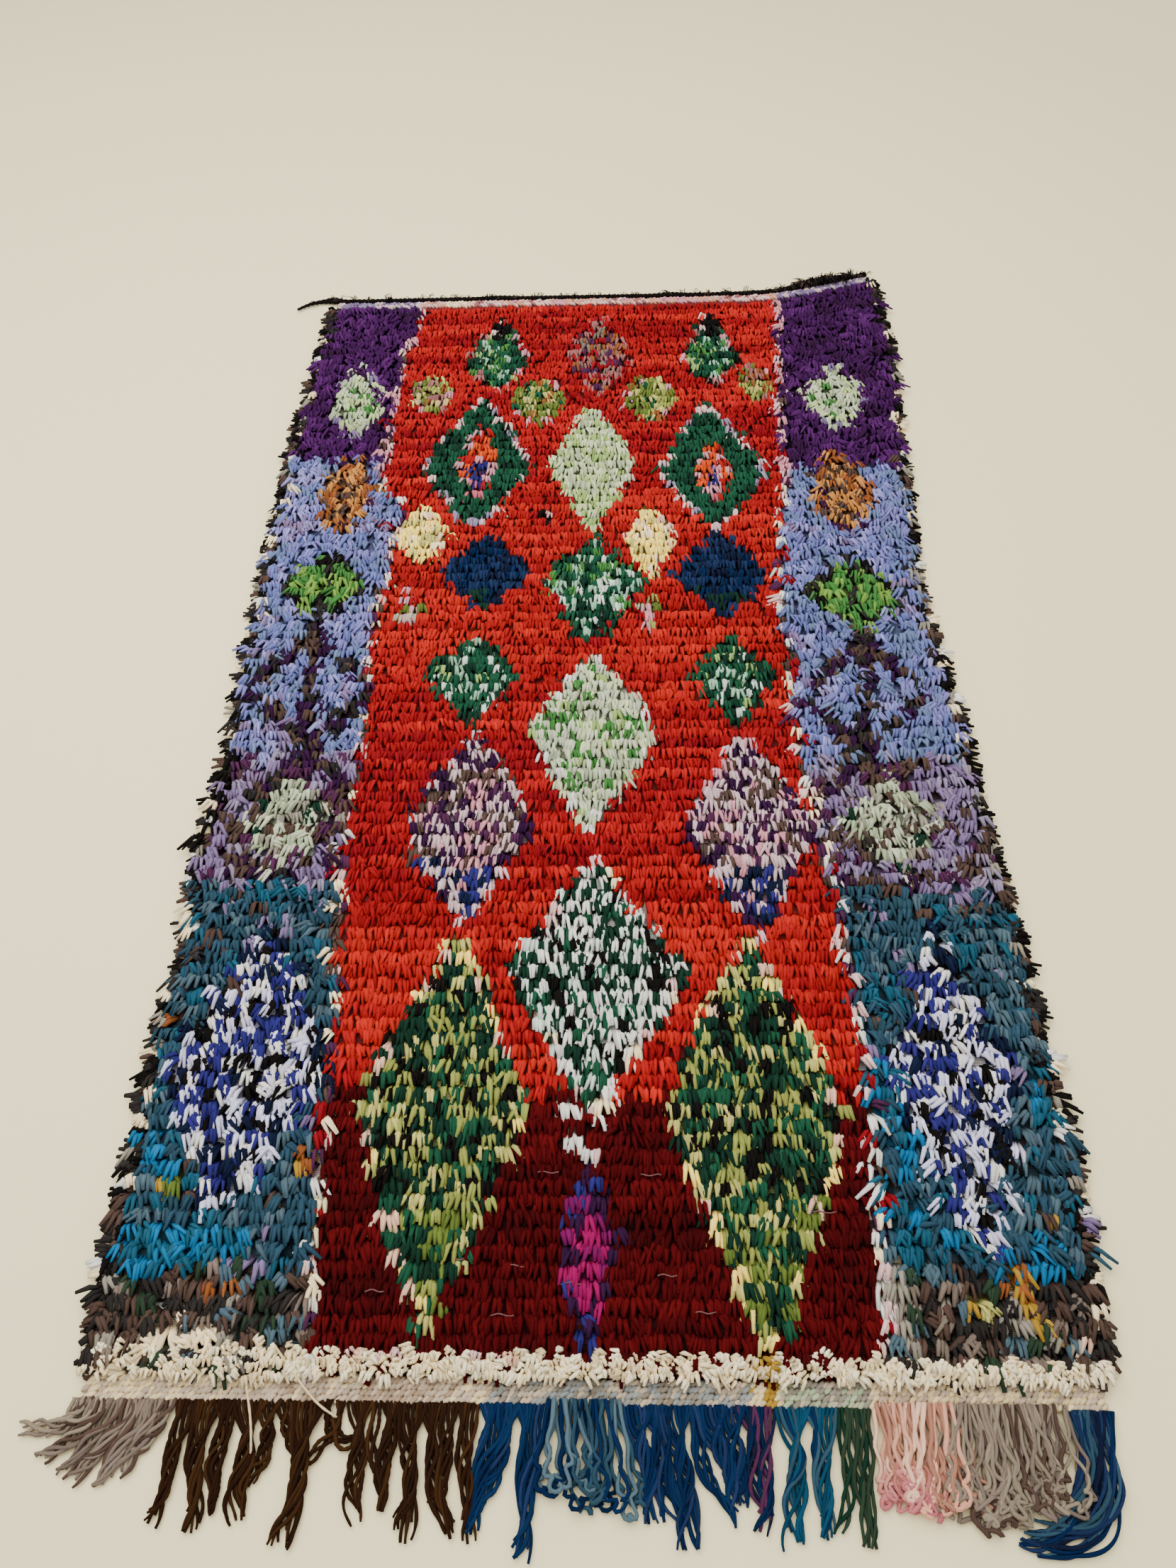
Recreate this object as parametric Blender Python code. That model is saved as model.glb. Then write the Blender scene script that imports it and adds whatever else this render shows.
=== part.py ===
"""A boucherouite rug lying flat on the floor, in metres, Z up.

The knotted rug is one lumpy slab whose two selvedges carry locks of yarn. A dark cord is sewn along its far
end. At its near end yarns are tied in groups, one colour after another, and each group hangs from its own
narrow strip of the end web. The near end is at -Y, and the floor is at Z = 0.
"""

import math
from collections import namedtuple

import bmesh
import bpy
from mathutils import Vector, noise

# Sizes of the knotted rug
NEAR_END = -1.054
GROUND = 0.005
FIELD_PILE = 0.014
BORDER_PILE = 0.018
BAND_PILE = 0.021
RIM_PILE = 0.009
LUMP = 0.0035
LUMP_SPACING = 0.055
BAND_DEPTH = 0.045
FAR_WEB = 0.030
FIELD_HALF_WIDTH = 0.31  # as a share of the rug's width
COLUMNS = 34
ROWS = 62

# The two selvedges, at stations along the length
Station = namedtuple("Station", "y left right")
SELVEDGES = (
    Station(-1.054, -0.572, 0.600),
    Station(-0.950, -0.574, 0.614),
    Station(-0.800, -0.572, 0.620),
    Station(-0.650, -0.576, 0.616),
    Station(-0.500, -0.566, 0.614),
    Station(-0.350, -0.582, 0.606),
    Station(-0.200, -0.571, 0.602),
    Station(-0.050, -0.572, 0.600),
    Station(0.100, -0.577, 0.586),
    Station(0.250, -0.583, 0.581),
    Station(0.400, -0.581, 0.591),
    Station(0.600, -0.586, 0.602),
    Station(0.780, -0.575, 0.619),
    Station(0.950, -0.574, 0.626),
    Station(1.200, -0.552, 0.617),
)

# The far end runs askew: its right corner is pulled out
Corner = namedtuple("Corner", "x y")
FAR_END = (
    Corner(-0.570, 1.078),
    Corner(-0.340, 1.089),
    Corner(-0.100, 1.100),
    Corner(0.160, 1.112),
    Corner(0.380, 1.128),
    Corner(0.500, 1.160),
    Corner(0.630, 1.206),
)

# Locks of yarn along the selvedges
LOCK_LENGTH = 0.017
LOCK_SPREAD = 0.45
LOCK_LEAN = 0.008
PLAIN_CORNER_ROWS = 2

# The cord along the far end, and its loose tail past the left corner
CORD_RADIUS = 0.0055
CORD_SWELL = 0.0055
SWELL_AT = 0.500
SWELL_WIDTH = 0.070
CORD_GAP = 0.0008
CORD_STEP = 0.022
TAIL = (Corner(-0.592, 1.088), Corner(-0.614, 1.083), Corner(-0.634, 1.071), Corner(-0.652, 1.053))

# Surfaces
YARN_ROUGHNESS = 0.95
PILE_COLOUR = (0.34, 0.010, 0.006)
CORD_COLOUR = (0.0025, 0.0022, 0.0022)

# The end web and the yarns tied to it
PARTING = 0.0003
WEB_DEPTH = 0.024
WEB_THICKNESS = 0.005
YARN_STEPS = 6
YARN_TAPER = 0.55
YARN_SWAY = 0.0028
SWAY_SPACING = 0.11
REACH_VARIES = 0.10
CURLED_STEPS = 12

# Each group of yarns: the stretch of web that it is tied to, how many locks it makes, how far they reach and
# how many degrees they lean to the right at its left and right ends, how far they curl, and its colour
Fringe = namedtuple(
    "Fringe", "name left right locks width reach_left reach_right lean_left lean_right curl colour"
)
FRINGES = (
    Fringe("fringe_taupe", -0.570, -0.455, 9, 0.0075, 0.085, 0.082, -66, -14, 0, (0.29, 0.25, 0.20)),
    Fringe("fringe_brown", -0.453, -0.114, 22, 0.0085, 0.112, 0.110, -12, -4, 0, (0.055, 0.030, 0.016)),
    Fringe("fringe_ink", -0.112, -0.038, 5, 0.0090, 0.118, 0.128, -4, -1, 0, (0.020, 0.050, 0.140)),
    Fringe("fringe_steel", -0.036, 0.052, 6, 0.0085, 0.088, 0.094, -1, 11, 0, (0.060, 0.130, 0.180)),
    Fringe("fringe_navy", 0.054, 0.178, 9, 0.0085, 0.120, 0.100, 14, 11, 0, (0.018, 0.040, 0.130)),
    Fringe("fringe_plum", 0.180, 0.221, 3, 0.0080, 0.104, 0.108, 10, 8, 0, (0.060, 0.022, 0.050)),
    Fringe("fringe_teal", 0.223, 0.286, 4, 0.0085, 0.120, 0.116, 5, 3, 0, (0.014, 0.090, 0.130)),
    Fringe("fringe_green", 0.288, 0.328, 3, 0.0070, 0.112, 0.116, 2, 5, 0, (0.022, 0.050, 0.030)),
    Fringe("fringe_rose", 0.330, 0.416, 6, 0.0085, 0.100, 0.102, 3, 1, 0, (0.520, 0.170, 0.150)),
    Fringe("fringe_stone", 0.418, 0.545, 9, 0.0090, 0.104, 0.082, 0, -8, 0, (0.270, 0.220, 0.170)),
    Fringe("fringe_midnight", 0.547, 0.600, 3, 0.0090, 0.180, 0.196, 3, 6, -118, (0.016, 0.045, 0.120)),
)


def between(stations, at, key, value):
    """A smooth value read from a table's rows at a place along it, by a cubic through four rows."""
    keys = [getattr(row, key) for row in stations]
    values = [getattr(row, value) for row in stations]
    i = max(0, min(len(keys) - 2, sum(k <= at for k in keys) - 1))
    before, after = max(i - 1, 0), min(i + 2, len(keys) - 1)
    span = keys[i + 1] - keys[i]
    slope_in = (values[i + 1] - values[before]) / (keys[i + 1] - keys[before])
    slope_out = (values[after] - values[i]) / (keys[after] - keys[i])
    t = max(0.0, min(1.0, (at - keys[i]) / span))
    return (
        values[i] * (1 + 2 * t) * (1 - t) ** 2
        + slope_in * span * t * (1 - t) ** 2
        + values[i + 1] * t * t * (3 - 2 * t)
        + slope_out * span * t * t * (t - 1)
    )


def far_end_y(x):
    return between(FAR_END, x, "x", "y")


def on_rug(across, along):
    """The floor point of a share of the width, from the left, and a share of the length, from the near end."""
    y = NEAR_END + along * (far_end_y(0.0) - NEAR_END)
    for _ in range(4):
        left = between(SELVEDGES, y, "y", "left")
        right = between(SELVEDGES, y, "y", "right")
        x = left + across * (right - left)
        y = NEAR_END + along * (far_end_y(x) - NEAR_END)
    return x, y


def pile_height(across, along, x, y):
    """The height of the pile: low at the rim and over the far web, higher on the borders and the end band."""
    if y > far_end_y(x) - FAR_WEB:
        return GROUND
    if min(across, 1 - across) < 0.5 / COLUMNS or along < 0.5 / ROWS:
        return RIM_PILE
    in_border = abs(across - 0.5) > FIELD_HALF_WIDTH
    height = BORDER_PILE if in_border else FIELD_PILE
    if y < NEAR_END + BAND_DEPTH:
        height = BAND_PILE
    return height + LUMP * noise.noise(Vector((x, y, 0.0)) / LUMP_SPACING)


def scatter(number, kind):
    """A repeatable value from -1 to 1 for a numbered lock."""
    return 2 * math.modf(abs(math.sin(number * 12.9898 + kind * 78.233)) * 437.585)[0] - 1


def pull_out(bm, face, corners):
    """Extrudes a four-sided face and puts its corners, in their order, at new places."""
    made = bmesh.ops.extrude_discrete_faces(bm, faces=[face])["faces"][0]
    for vertex, place in zip(made.verts, corners):
        vertex.co = place
    return made


def add_selvedge_lock(bm, face, number):
    """Pulls a wall face out into a tapering lock that keeps its underside on the floor."""
    middle = face.calc_center_median()
    outward = math.copysign(1.0, face.normal.x)
    length = LOCK_LENGTH * (1 + 0.45 * scatter(number, 1))
    lean = LOCK_LEAN * scatter(number, 2)
    for share, spread, height in ((0.5, 0.78, 0.85), (1.0, LOCK_SPREAD, 0.45)):
        corners = [
            Vector((
                v.co.x + outward * length * 0.5,
                middle.y + (v.co.y - middle.y) * spread + lean * share,
                v.co.z * height,
            ))
            for v in face.verts
        ]
        face = pull_out(bm, face, corners)


def finished(name, bm, colour):
    """Makes the named object of a mesh, with its own wool or cotton material."""
    bmesh.ops.recalc_face_normals(bm, faces=bm.faces)
    mesh = bpy.data.meshes.new(name)
    bm.to_mesh(mesh)
    bm.free()
    obj = bpy.data.objects.new(name, mesh)
    give_material(obj, colour)
    return obj


def give_material(obj, colour):
    """Dull dyed yarn."""
    material = bpy.data.materials.new(obj.name)
    material.use_nodes = True
    shader = material.node_tree.nodes["Principled BSDF"]
    shader.inputs["Base Color"].default_value = (*colour, 1.0)
    shader.inputs["Roughness"].default_value = YARN_ROUGHNESS
    shader.inputs["Metallic"].default_value = 0.0
    obj.data.materials.append(material)


def make_rug():
    """The knotted rug: a grid laid over the outline, walled down to a flat underside, with selvedge locks."""
    bm = bmesh.new()
    bmesh.ops.create_grid(bm, x_segments=COLUMNS, y_segments=ROWS, size=0.5)
    for vertex in bm.verts:
        across, along = vertex.co.x + 0.5, vertex.co.y + 0.5
        x, y = on_rug(across, along)
        vertex.co = (x, y, pile_height(across, along, x, y))
    rim = [edge for edge in bm.edges if edge.is_boundary]
    walls = bmesh.ops.extrude_edge_only(bm, edges=rim)["geom"]
    for vertex in (part for part in walls if isinstance(part, bmesh.types.BMVert)):
        vertex.co.z = 0.0
    foot = [edge for edge in bm.edges if edge.is_boundary]
    bmesh.ops.contextual_create(bm, geom=foot)
    bmesh.ops.recalc_face_normals(bm, faces=bm.faces)
    bm.normal_update()
    last_lock = on_rug(0.0, 1 - PLAIN_CORNER_ROWS / ROWS)[1]
    sides = [
        face
        for face in bm.faces
        if abs(face.normal.x) > 0.8 and face.calc_center_median().y < last_lock
    ]
    for number, face in enumerate(sorted(sides, key=lambda f: tuple(f.calc_center_median()))):
        add_selvedge_lock(bm, face, number)
    return finished("rug", bm, PILE_COLOUR)


def end_cord_path():
    """Points of the far end's cord with its radius there, from the right corner to the end of the loose tail."""
    right = between(SELVEDGES, 1.2, "y", "right")
    left = FAR_END[0].x
    count = round((right - left) / CORD_STEP)
    path = []
    for i in range(count + 1):
        x = right + (left - right) * i / count
        slope = (far_end_y(x + 0.01) - far_end_y(x - 0.01)) / 0.02
        radius = CORD_RADIUS + CORD_SWELL * math.exp(-(((x - SWELL_AT) / SWELL_WIDTH) ** 2))
        outward = Vector((-slope, 1.0)).normalized() * (radius + CORD_GAP)
        path.append((x + outward.x, far_end_y(x) + outward.y, radius))
    for i, corner in enumerate(TAIL, 1):
        path.append((corner.x, corner.y, CORD_RADIUS * (1 - 0.12 * i)))
    return path


def make_end_cord():
    """The dark cord sewn along the far end: a round tube that swells near the right corner."""
    curve = bpy.data.curves.new("end_cord", "CURVE")
    curve.dimensions = "3D"
    curve.bevel_depth = 1.0
    curve.bevel_resolution = 2
    curve.use_fill_caps = True
    path = end_cord_path()
    spline = curve.splines.new("POLY")
    spline.points.add(len(path) - 1)
    for point, (x, y, radius) in zip(spline.points, path):
        point.co = (x, y, radius, 1.0)
        point.radius = radius
    obj = bpy.data.objects.new("end_cord", curve)
    give_material(obj, CORD_COLOUR)
    return obj


def yarn_path(fringe, number):
    """Centres of a yarn lock on the floor, with its heading there, in even steps from the web."""
    share = number / (fringe.locks - 1)
    pitch = (fringe.right - fringe.left) / fringe.locks
    x = fringe.left + pitch * (number + 0.5)
    y = NEAR_END - PARTING - WEB_DEPTH
    reach = fringe.reach_left + (fringe.reach_right - fringe.reach_left) * share
    lean = math.radians(fringe.lean_left + (fringe.lean_right - fringe.lean_left) * share)
    steps = CURLED_STEPS
    if not fringe.curl:
        steps = YARN_STEPS
        reach *= 1 + REACH_VARIES * scatter(number, fringe.left)
    path = []
    for i in range(1, steps + 1):
        along = i / steps
        heading = lean * min(1.0, 2 * along) + math.radians(fringe.curl) * along**2
        x += math.sin(heading) * reach / steps
        y -= math.cos(heading) * reach / steps
        sway = YARN_SWAY * along * math.sin(math.tau * (1.2 * along + x / SWAY_SPACING))
        path.append((x + sway * math.cos(heading), y, heading, along))
    return path


def pull_out_yarn(bm, face, fringe, number):
    """Draws a root face out along its yarn's path, tapering, with its underside on the floor."""
    for x, y, heading, along in yarn_path(fringe, number):
        half_width = fringe.width / 2 * (1 - (1 - YARN_TAPER) * along)
        height = WEB_THICKNESS * (1 - (1 - YARN_TAPER) * along)
        middle = face.calc_center_median()
        back = Vector((math.cos(heading), math.sin(heading), 0.0))
        corners = []
        for vertex in face.verts:
            side = math.copysign(half_width, (vertex.co - middle).dot(back))
            top = height if vertex.co.z > middle.z else 0.0
            corners.append(Vector((x, y, top)) + back * side)
        face = pull_out(bm, face, corners)


def make_fringe(fringe):
    """A strip of the end web with its yarn locks, each drawn out of its own root face."""
    bm = bmesh.new()
    bmesh.ops.create_grid(bm, x_segments=2 * fringe.locks + 1, y_segments=1, size=0.5)
    pitch = (fringe.right - fringe.left) / fringe.locks
    for vertex in bm.verts:
        line = round((vertex.co.x + 0.5) * (2 * fringe.locks + 1))
        number, side = divmod(line - 1, 2)
        x = fringe.left + pitch * (number + 0.5) + (side - 0.5) * fringe.width
        if line in (0, 2 * fringe.locks + 1):
            x = (fringe.left if line == 0 else fringe.right) + math.copysign(PARTING / 2, 0.5 - line)
        y = NEAR_END - PARTING - (WEB_DEPTH if vertex.co.y < 0 else 0.0)
        vertex.co = (x, y, 0.0)
    raised = bmesh.ops.extrude_face_region(bm, geom=bm.faces[:])["geom"]
    for vertex in (part for part in raised if isinstance(part, bmesh.types.BMVert)):
        vertex.co.z = WEB_THICKNESS
    bmesh.ops.recalc_face_normals(bm, faces=bm.faces)
    bm.normal_update()
    front = [face for face in bm.faces if face.normal.y < -0.9]
    front.sort(key=lambda f: f.calc_center_median().x)
    for number, face in enumerate(front[1::2]):
        pull_out_yarn(bm, face, fringe, number)
    return finished(fringe.name, bm, fringe.colour)


def clear_scene():
    for obj in list(bpy.data.objects):
        bpy.data.objects.remove(obj)


def main():
    clear_scene()
    parts = bpy.data.collections.new("boucherouite_rug")
    bpy.context.scene.collection.children.link(parts)
    parts.objects.link(make_rug())
    parts.objects.link(make_end_cord())
    for fringe in FRINGES:
        parts.objects.link(make_fringe(fringe))


main()
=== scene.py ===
"""The looks of a boucherouite rug that lies flat on a pale floor.

Metres, Z up. The fringed end is at -Y, the corded end at +Y and the floor at Z = 0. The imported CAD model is
the fixed frame: the cloth, tufts, cords and yarns made here lie where its solids are.
"""

from collections import namedtuple

import bpy
import numpy as np
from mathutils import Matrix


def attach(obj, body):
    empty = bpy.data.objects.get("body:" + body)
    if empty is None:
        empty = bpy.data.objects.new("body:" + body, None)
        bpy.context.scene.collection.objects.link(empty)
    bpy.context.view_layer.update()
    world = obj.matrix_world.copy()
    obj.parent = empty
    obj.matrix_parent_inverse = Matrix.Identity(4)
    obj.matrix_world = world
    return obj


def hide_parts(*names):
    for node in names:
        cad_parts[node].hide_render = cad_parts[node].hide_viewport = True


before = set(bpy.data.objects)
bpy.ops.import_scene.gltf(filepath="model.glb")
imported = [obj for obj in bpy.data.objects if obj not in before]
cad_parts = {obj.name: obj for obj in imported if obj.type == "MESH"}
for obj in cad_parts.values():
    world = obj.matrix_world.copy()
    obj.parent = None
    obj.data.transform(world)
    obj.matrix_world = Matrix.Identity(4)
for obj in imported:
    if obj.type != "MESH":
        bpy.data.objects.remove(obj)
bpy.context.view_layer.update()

# The floor, the light and the camera
# A plain pale floor under one broad soft light and an even sky, seen by a phone held a metre and a half up,
# just past the fringe, and tilted down along the rug.
EYE = (0.012, -1.280, 1.500)
TILT = 35.54
TURN = 0.64
SENSOR = 36.0
LONG_SIDE_VIEW = 67.3
FLOOR_HALF = 24.0
FLOOR_LEVEL = -0.0004
FLOOR_COLOUR = "#fcecb6"
FLOOR_ROUGHNESS = 0.55
LIGHT_SIDE = 3.2
LIGHT_AT = (-0.7, 0.5, 2.7)
LIGHT_TURN = (-0.14, -0.20, 0.0)
LIGHT_POWER = 118.0
SKY_COLOUR = "#f2f3f6"
SKY_STRENGTH = 1.21


def linear(code):
    """Linear colour from an sRGB hex code: each channel on the power 2.4 curve, with its straight foot."""
    srgb = np.array([int(code[i : i + 2], 16) for i in (1, 3, 5)]) / 255
    return np.where(srgb <= 0.04045, srgb / 12.92, ((srgb + 0.055) / 1.055) ** 2.4)


def rgba(code):
    """The linear colour of a hex code, with full alpha."""
    return (*linear(code), 1.0)


def new_material(name):
    """A material, with its node tree and its shader."""
    material = bpy.data.materials.new(name)
    material.use_nodes = True
    return material, material.node_tree, material.node_tree.nodes["Principled BSDF"]


floor_mesh = bpy.data.meshes.new("floor")
signs = ((-1, -1), (1, -1), (1, 1), (-1, 1))
floor_corners = [(x * FLOOR_HALF, y * FLOOR_HALF, FLOOR_LEVEL) for x, y in signs]
floor_mesh.from_pydata(floor_corners, [], [(0, 1, 2, 3)])
floor = bpy.data.objects.new("floor", floor_mesh)
bpy.context.scene.collection.objects.link(floor)
floor_paint, tree, shader = new_material("pale_floor")
shader.inputs["Base Color"].default_value = rgba(FLOOR_COLOUR)
shader.inputs["Roughness"].default_value = FLOOR_ROUGHNESS
floor_mesh.materials.append(floor_paint)

light_data = bpy.data.lights.new("soft_light", "AREA")
light_data.size = LIGHT_SIDE
light_data.energy = LIGHT_POWER
light = bpy.data.objects.new("soft_light", light_data)
light.location = LIGHT_AT
light.rotation_euler = LIGHT_TURN
bpy.context.scene.collection.objects.link(light)

world = bpy.data.worlds.new("even_sky")
world.use_nodes = True
sky = world.node_tree.nodes["Background"]
sky.inputs["Color"].default_value = rgba(SKY_COLOUR)
sky.inputs["Strength"].default_value = SKY_STRENGTH
bpy.context.scene.world = world

camera_data = bpy.data.cameras.new("camera")
camera_data.sensor_width = SENSOR
camera_data.lens = SENSOR / 2 / np.tan(np.radians(LONG_SIDE_VIEW / 2))
camera = bpy.data.objects.new("camera", camera_data)
camera.location = EYE
camera.rotation_euler = (np.radians(TILT), 0.0, np.radians(TURN))
bpy.context.scene.collection.objects.link(camera)
bpy.context.scene.camera = camera

# The outline
# The rug's plan, which every piece below is laid to. The two selvedges waver as the rug was woven, and its
# far end runs askew, with the right corner pulled out.
NEAR_END = -1.054
FAR_WEB = 0.030
Station = namedtuple("Station", "y left right")
SELVEDGES = (
    Station(-1.054, -0.572, 0.600),
    Station(-0.950, -0.574, 0.614),
    Station(-0.800, -0.572, 0.620),
    Station(-0.650, -0.576, 0.616),
    Station(-0.500, -0.566, 0.614),
    Station(-0.350, -0.582, 0.606),
    Station(-0.200, -0.571, 0.602),
    Station(-0.050, -0.572, 0.600),
    Station(0.100, -0.577, 0.586),
    Station(0.250, -0.583, 0.581),
    Station(0.400, -0.581, 0.591),
    Station(0.600, -0.586, 0.602),
    Station(0.780, -0.575, 0.619),
    Station(0.950, -0.574, 0.626),
    Station(1.200, -0.552, 0.617),
)
Corner = namedtuple("Corner", "x y")
FAR_END = (
    Corner(-0.570, 1.078),
    Corner(-0.340, 1.089),
    Corner(-0.100, 1.100),
    Corner(0.160, 1.112),
    Corner(0.380, 1.128),
    Corner(0.500, 1.160),
    Corner(0.630, 1.206),
)


def smooth(at, rows, key, value):
    """A cubic through a table's rows, whose slope at each row is that of the line through its neighbours."""
    keys = np.array([getattr(row, key) for row in rows])
    values = np.array([getattr(row, value) for row in rows])
    i = np.clip(np.searchsorted(keys, at, side="right") - 1, 0, len(keys) - 2)
    before, after = np.maximum(i - 1, 0), np.minimum(i + 2, len(keys) - 1)
    span = keys[i + 1] - keys[i]
    slope_in = (values[i + 1] - values[before]) / (keys[i + 1] - keys[before])
    slope_out = (values[after] - values[i]) / (keys[after] - keys[i])
    t = np.clip((at - keys[i]) / span, 0, 1)
    return (
        values[i] * (1 + 2 * t) * (1 - t) ** 2
        + slope_in * span * t * (1 - t) ** 2
        + values[i + 1] * t * t * (3 - 2 * t)
        + slope_out * span * t * t * (t - 1)
    )


def far_end_y(x):
    """Where the far end lies at a given x, on the smooth line through its corners."""
    return smooth(x, FAR_END, "x", "y")


def on_rug(across, along):
    """Floor points at shares of the width and of the length. The share of length is set off from the near end
    and x is taken between the selvedges there, four times over because the far end runs askew."""
    y = NEAR_END + along * (far_end_y(0.0) - NEAR_END)
    for _ in range(4):
        left = smooth(y, SELVEDGES, "y", "left")
        right = smooth(y, SELVEDGES, "y", "right")
        x = left + across * (right - left)
        y = NEAR_END + along * (far_end_y(x) - NEAR_END)
    return x, y


# The pattern
# Two patchwork borders run beside a red field that turns maroon at the near end. Lozenges and drops stand in
# three files on the field and in one on each border. All of it is the dye of single knots of rag and wool.
DYES = {
    name: linear(code)
    for name, code in (
        ("crimson", "#87131b"), ("brick", "#94161a"), ("scarlet", "#a01b1a"), ("vermilion", "#ae241b"),
        ("maroon", "#48080a"), ("oxblood", "#40080a"), ("wine", "#500a0c"),
        ("purple", "#3d1645"), ("aubergine", "#311434"), ("violet", "#4f2058"), ("plum", "#4a2440"),
        ("lavender", "#7977ac"), ("periwinkle", "#666d9f"), ("lilac", "#8e8abc"), ("slate_blue", "#667394"),
        ("mauve", "#7a6788"), ("heather", "#8b7e92"), ("petrol", "#2b4654"), ("deep_teal", "#28424d"),
        ("steel", "#4a5e66"), ("sea", "#245163"), ("turquoise", "#1a6890"), ("ash", "#8a8272"),
        ("umber", "#4e3c33"), ("taupe", "#756659"), ("ochre", "#a8822e"), ("black", "#13100e"),
        ("charcoal", "#2b2724"), ("forest", "#1b4a33"), ("pine", "#153023"), ("leaf", "#3f7436"),
        ("grass", "#6f9440"), ("spring", "#94ac62"), ("lime", "#bcc88e"), ("pale_lime", "#ccd2a4"),
        ("mint", "#8fb596"), ("ice", "#ccd6c6"), ("sage", "#a3ad8a"), ("celadon", "#bcc2a2"),
        ("moss", "#5c6b2c"), ("olive", "#8f9348"), ("straw", "#bdb566"), ("butter", "#ffe070"),
        ("cream", "#fae4b4"), ("white", "#e2ddd2"), ("snow", "#d2cee0"), ("peach", "#e2b698"),
        ("rose", "#c88a92"), ("blush", "#deb6ae"), ("dusk", "#cbaeae"), ("dusk_rose", "#96605c"),
        ("ember", "#c8481e"), ("orange", "#bd7f42"), ("rust", "#8a4e28"), ("navy", "#1c2b4a"),
        ("ink", "#131a30"), ("indigo", "#2b2866"), ("magenta", "#941052"), ("fuchsia", "#6e124e"),
        ("bark", "#27150a"), ("cocoa", "#37210f"), ("royal", "#0d2746"), ("marine", "#0a1f3e"),
        ("lagoon", "#153c50"), ("fawn", "#bca88e"), ("clay", "#ae7a62"), ("pewter", "#8b8d87"),
        ("tan", "#a38a70"), ("sand", "#dfc898"), ("raspberry", "#b8606a"), ("stone", "#887a66"),
        ("salmon", "#d0977c"), ("loden", "#2a3a2a"), ("ivory", "#fff0c8"),
    )
}
Edges = namedtuple("Edges", "y left right")
FIELD_EDGES = (
    Edges(-1.010, -0.316, 0.354),
    Edges(-0.830, -0.331, 0.368),
    Edges(-0.600, -0.339, 0.367),
    Edges(-0.480, -0.354, 0.366),
    Edges(-0.300, -0.366, 0.352),
    Edges(-0.140, -0.364, 0.337),
    Edges(0.100, -0.371, 0.334),
    Edges(0.300, -0.364, 0.342),
    Edges(0.440, -0.356, 0.355),
    Edges(0.490, -0.396, 0.368),
    Edges(0.620, -0.401, 0.372),
    Edges(0.800, -0.401, 0.381),
    Edges(1.080, -0.376, 0.401),
)
EDGE_LINE = 0.0070
EDGE_FULL_FROM = 0.5
EDGE_THINNED = 0.52
MAROON_FROM = -0.700
MAROON_BLUR = 0.008
STREAK_WIDE = 0.22
STREAK_LONG = 0.013
STREAK_DARKEST = 0.84
STREAK_SHADES = 0.32
Warmth = namedtuple("Warmth", "y redder")
RED_DRIFT = (
    Warmth(-0.70, 0.10),
    Warmth(-0.45, 0.16),
    Warmth(-0.28, -0.10),
    Warmth(-0.08, -0.02),
    Warmth(0.12, 0.22),
    Warmth(0.42, 0.20),
    Warmth(0.62, -0.10),
    Warmth(0.85, 0.00),
    Warmth(1.10, 0.00),
)
ZONE_BLUR = 0.02
PATCH_SHAPE = 0.75

# A knot's dye is picked partly by smooth noise, which its neighbours share, and partly by its own draw
ZONE_MIX = (0.72, 0.28)
RED_MIX = (0.50, 0.22)
RED_FROM = 0.14
MAROON_MIX = (0.6, 0.4)
Zone = namedtuple("Zone", "from_y patch dyes")
BORDER_ZONES = (
    Zone(0.560, 0.05, "aubergine purple purple violet purple"),
    Zone(-0.150, 0.045, "slate_blue periwinkle slate_blue lavender periwinkle lilac mauve"),
    Zone(-0.390, 0.040, "aubergine umber mauve heather mauve plum umber"),
    Zone(-0.925, 0.035, "mauve steel deep_teal petrol steel petrol sea deep_teal petrol umber"),
    Zone(-2.000, 0.020, "umber taupe charcoal loden umber charcoal steel ash"),
)
PATCH_BLUR = 0.5
Patch = namedtuple("Patch", "x y half_width half_length dyes")
PATCHES = (
    Patch(-0.535, -0.770, 0.045, 0.040, "turquoise turquoise sea petrol"),
    Patch(-0.500, -0.895, 0.085, 0.032, "turquoise turquoise sea"),
    Patch(-0.345, -0.643, 0.022, 0.050, "sea turquoise petrol"),
    Patch(0.405, -0.720, 0.035, 0.075, "sea turquoise turquoise petrol"),
    Patch(0.602, -0.692, 0.016, 0.045, "turquoise sea"),
    Patch(0.425, -0.872, 0.060, 0.040, "turquoise sea sea petrol"),
    Patch(0.545, -0.905, 0.050, 0.028, "turquoise petrol"),
    Patch(0.400, -0.560, 0.040, 0.020, "sea petrol"),
    Patch(-0.462, -1.000, 0.052, 0.020, "cream ash cream white taupe"),
    Patch(-0.440, -0.938, 0.032, 0.013, "rust umber peach umber"),
    Patch(0.372, -0.950, 0.014, 0.045, "cream ash blush"),
    Patch(0.520, -0.972, 0.022, 0.020, "cream ash cream ochre"),
    Patch(0.600, -0.985, 0.016, 0.030, "umber charcoal peach"),
    Patch(-0.358, -0.790, 0.015, 0.014, "ochre rust"),
    Patch(-0.522, -0.818, 0.016, 0.014, "ochre moss"),
    Patch(-0.556, -0.610, 0.014, 0.012, "rust ochre"),
    Patch(0.520, -0.926, 0.020, 0.014, "ochre rust"),
    Patch(0.470, -0.955, 0.018, 0.012, "ochre straw"),
    Patch(0.572, -0.856, 0.014, 0.012, "ochre umber"),
)
LIMB_LINE = 0.0120
LIMB_SHARE = 0.95
Limb = namedtuple("Limb", "from_off from_y to_off to_y")
LIMBS = (
    Limb(0.000, 0.140, 0.000, -0.170),
    Limb(0.000, 0.105, 0.078, 0.012),
    Limb(0.090, -0.028, 0.000, -0.138),
    Limb(0.000, -0.150, 0.086, -0.236),
)
Trunk = namedtuple("Trunk", "x slant")
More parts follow.
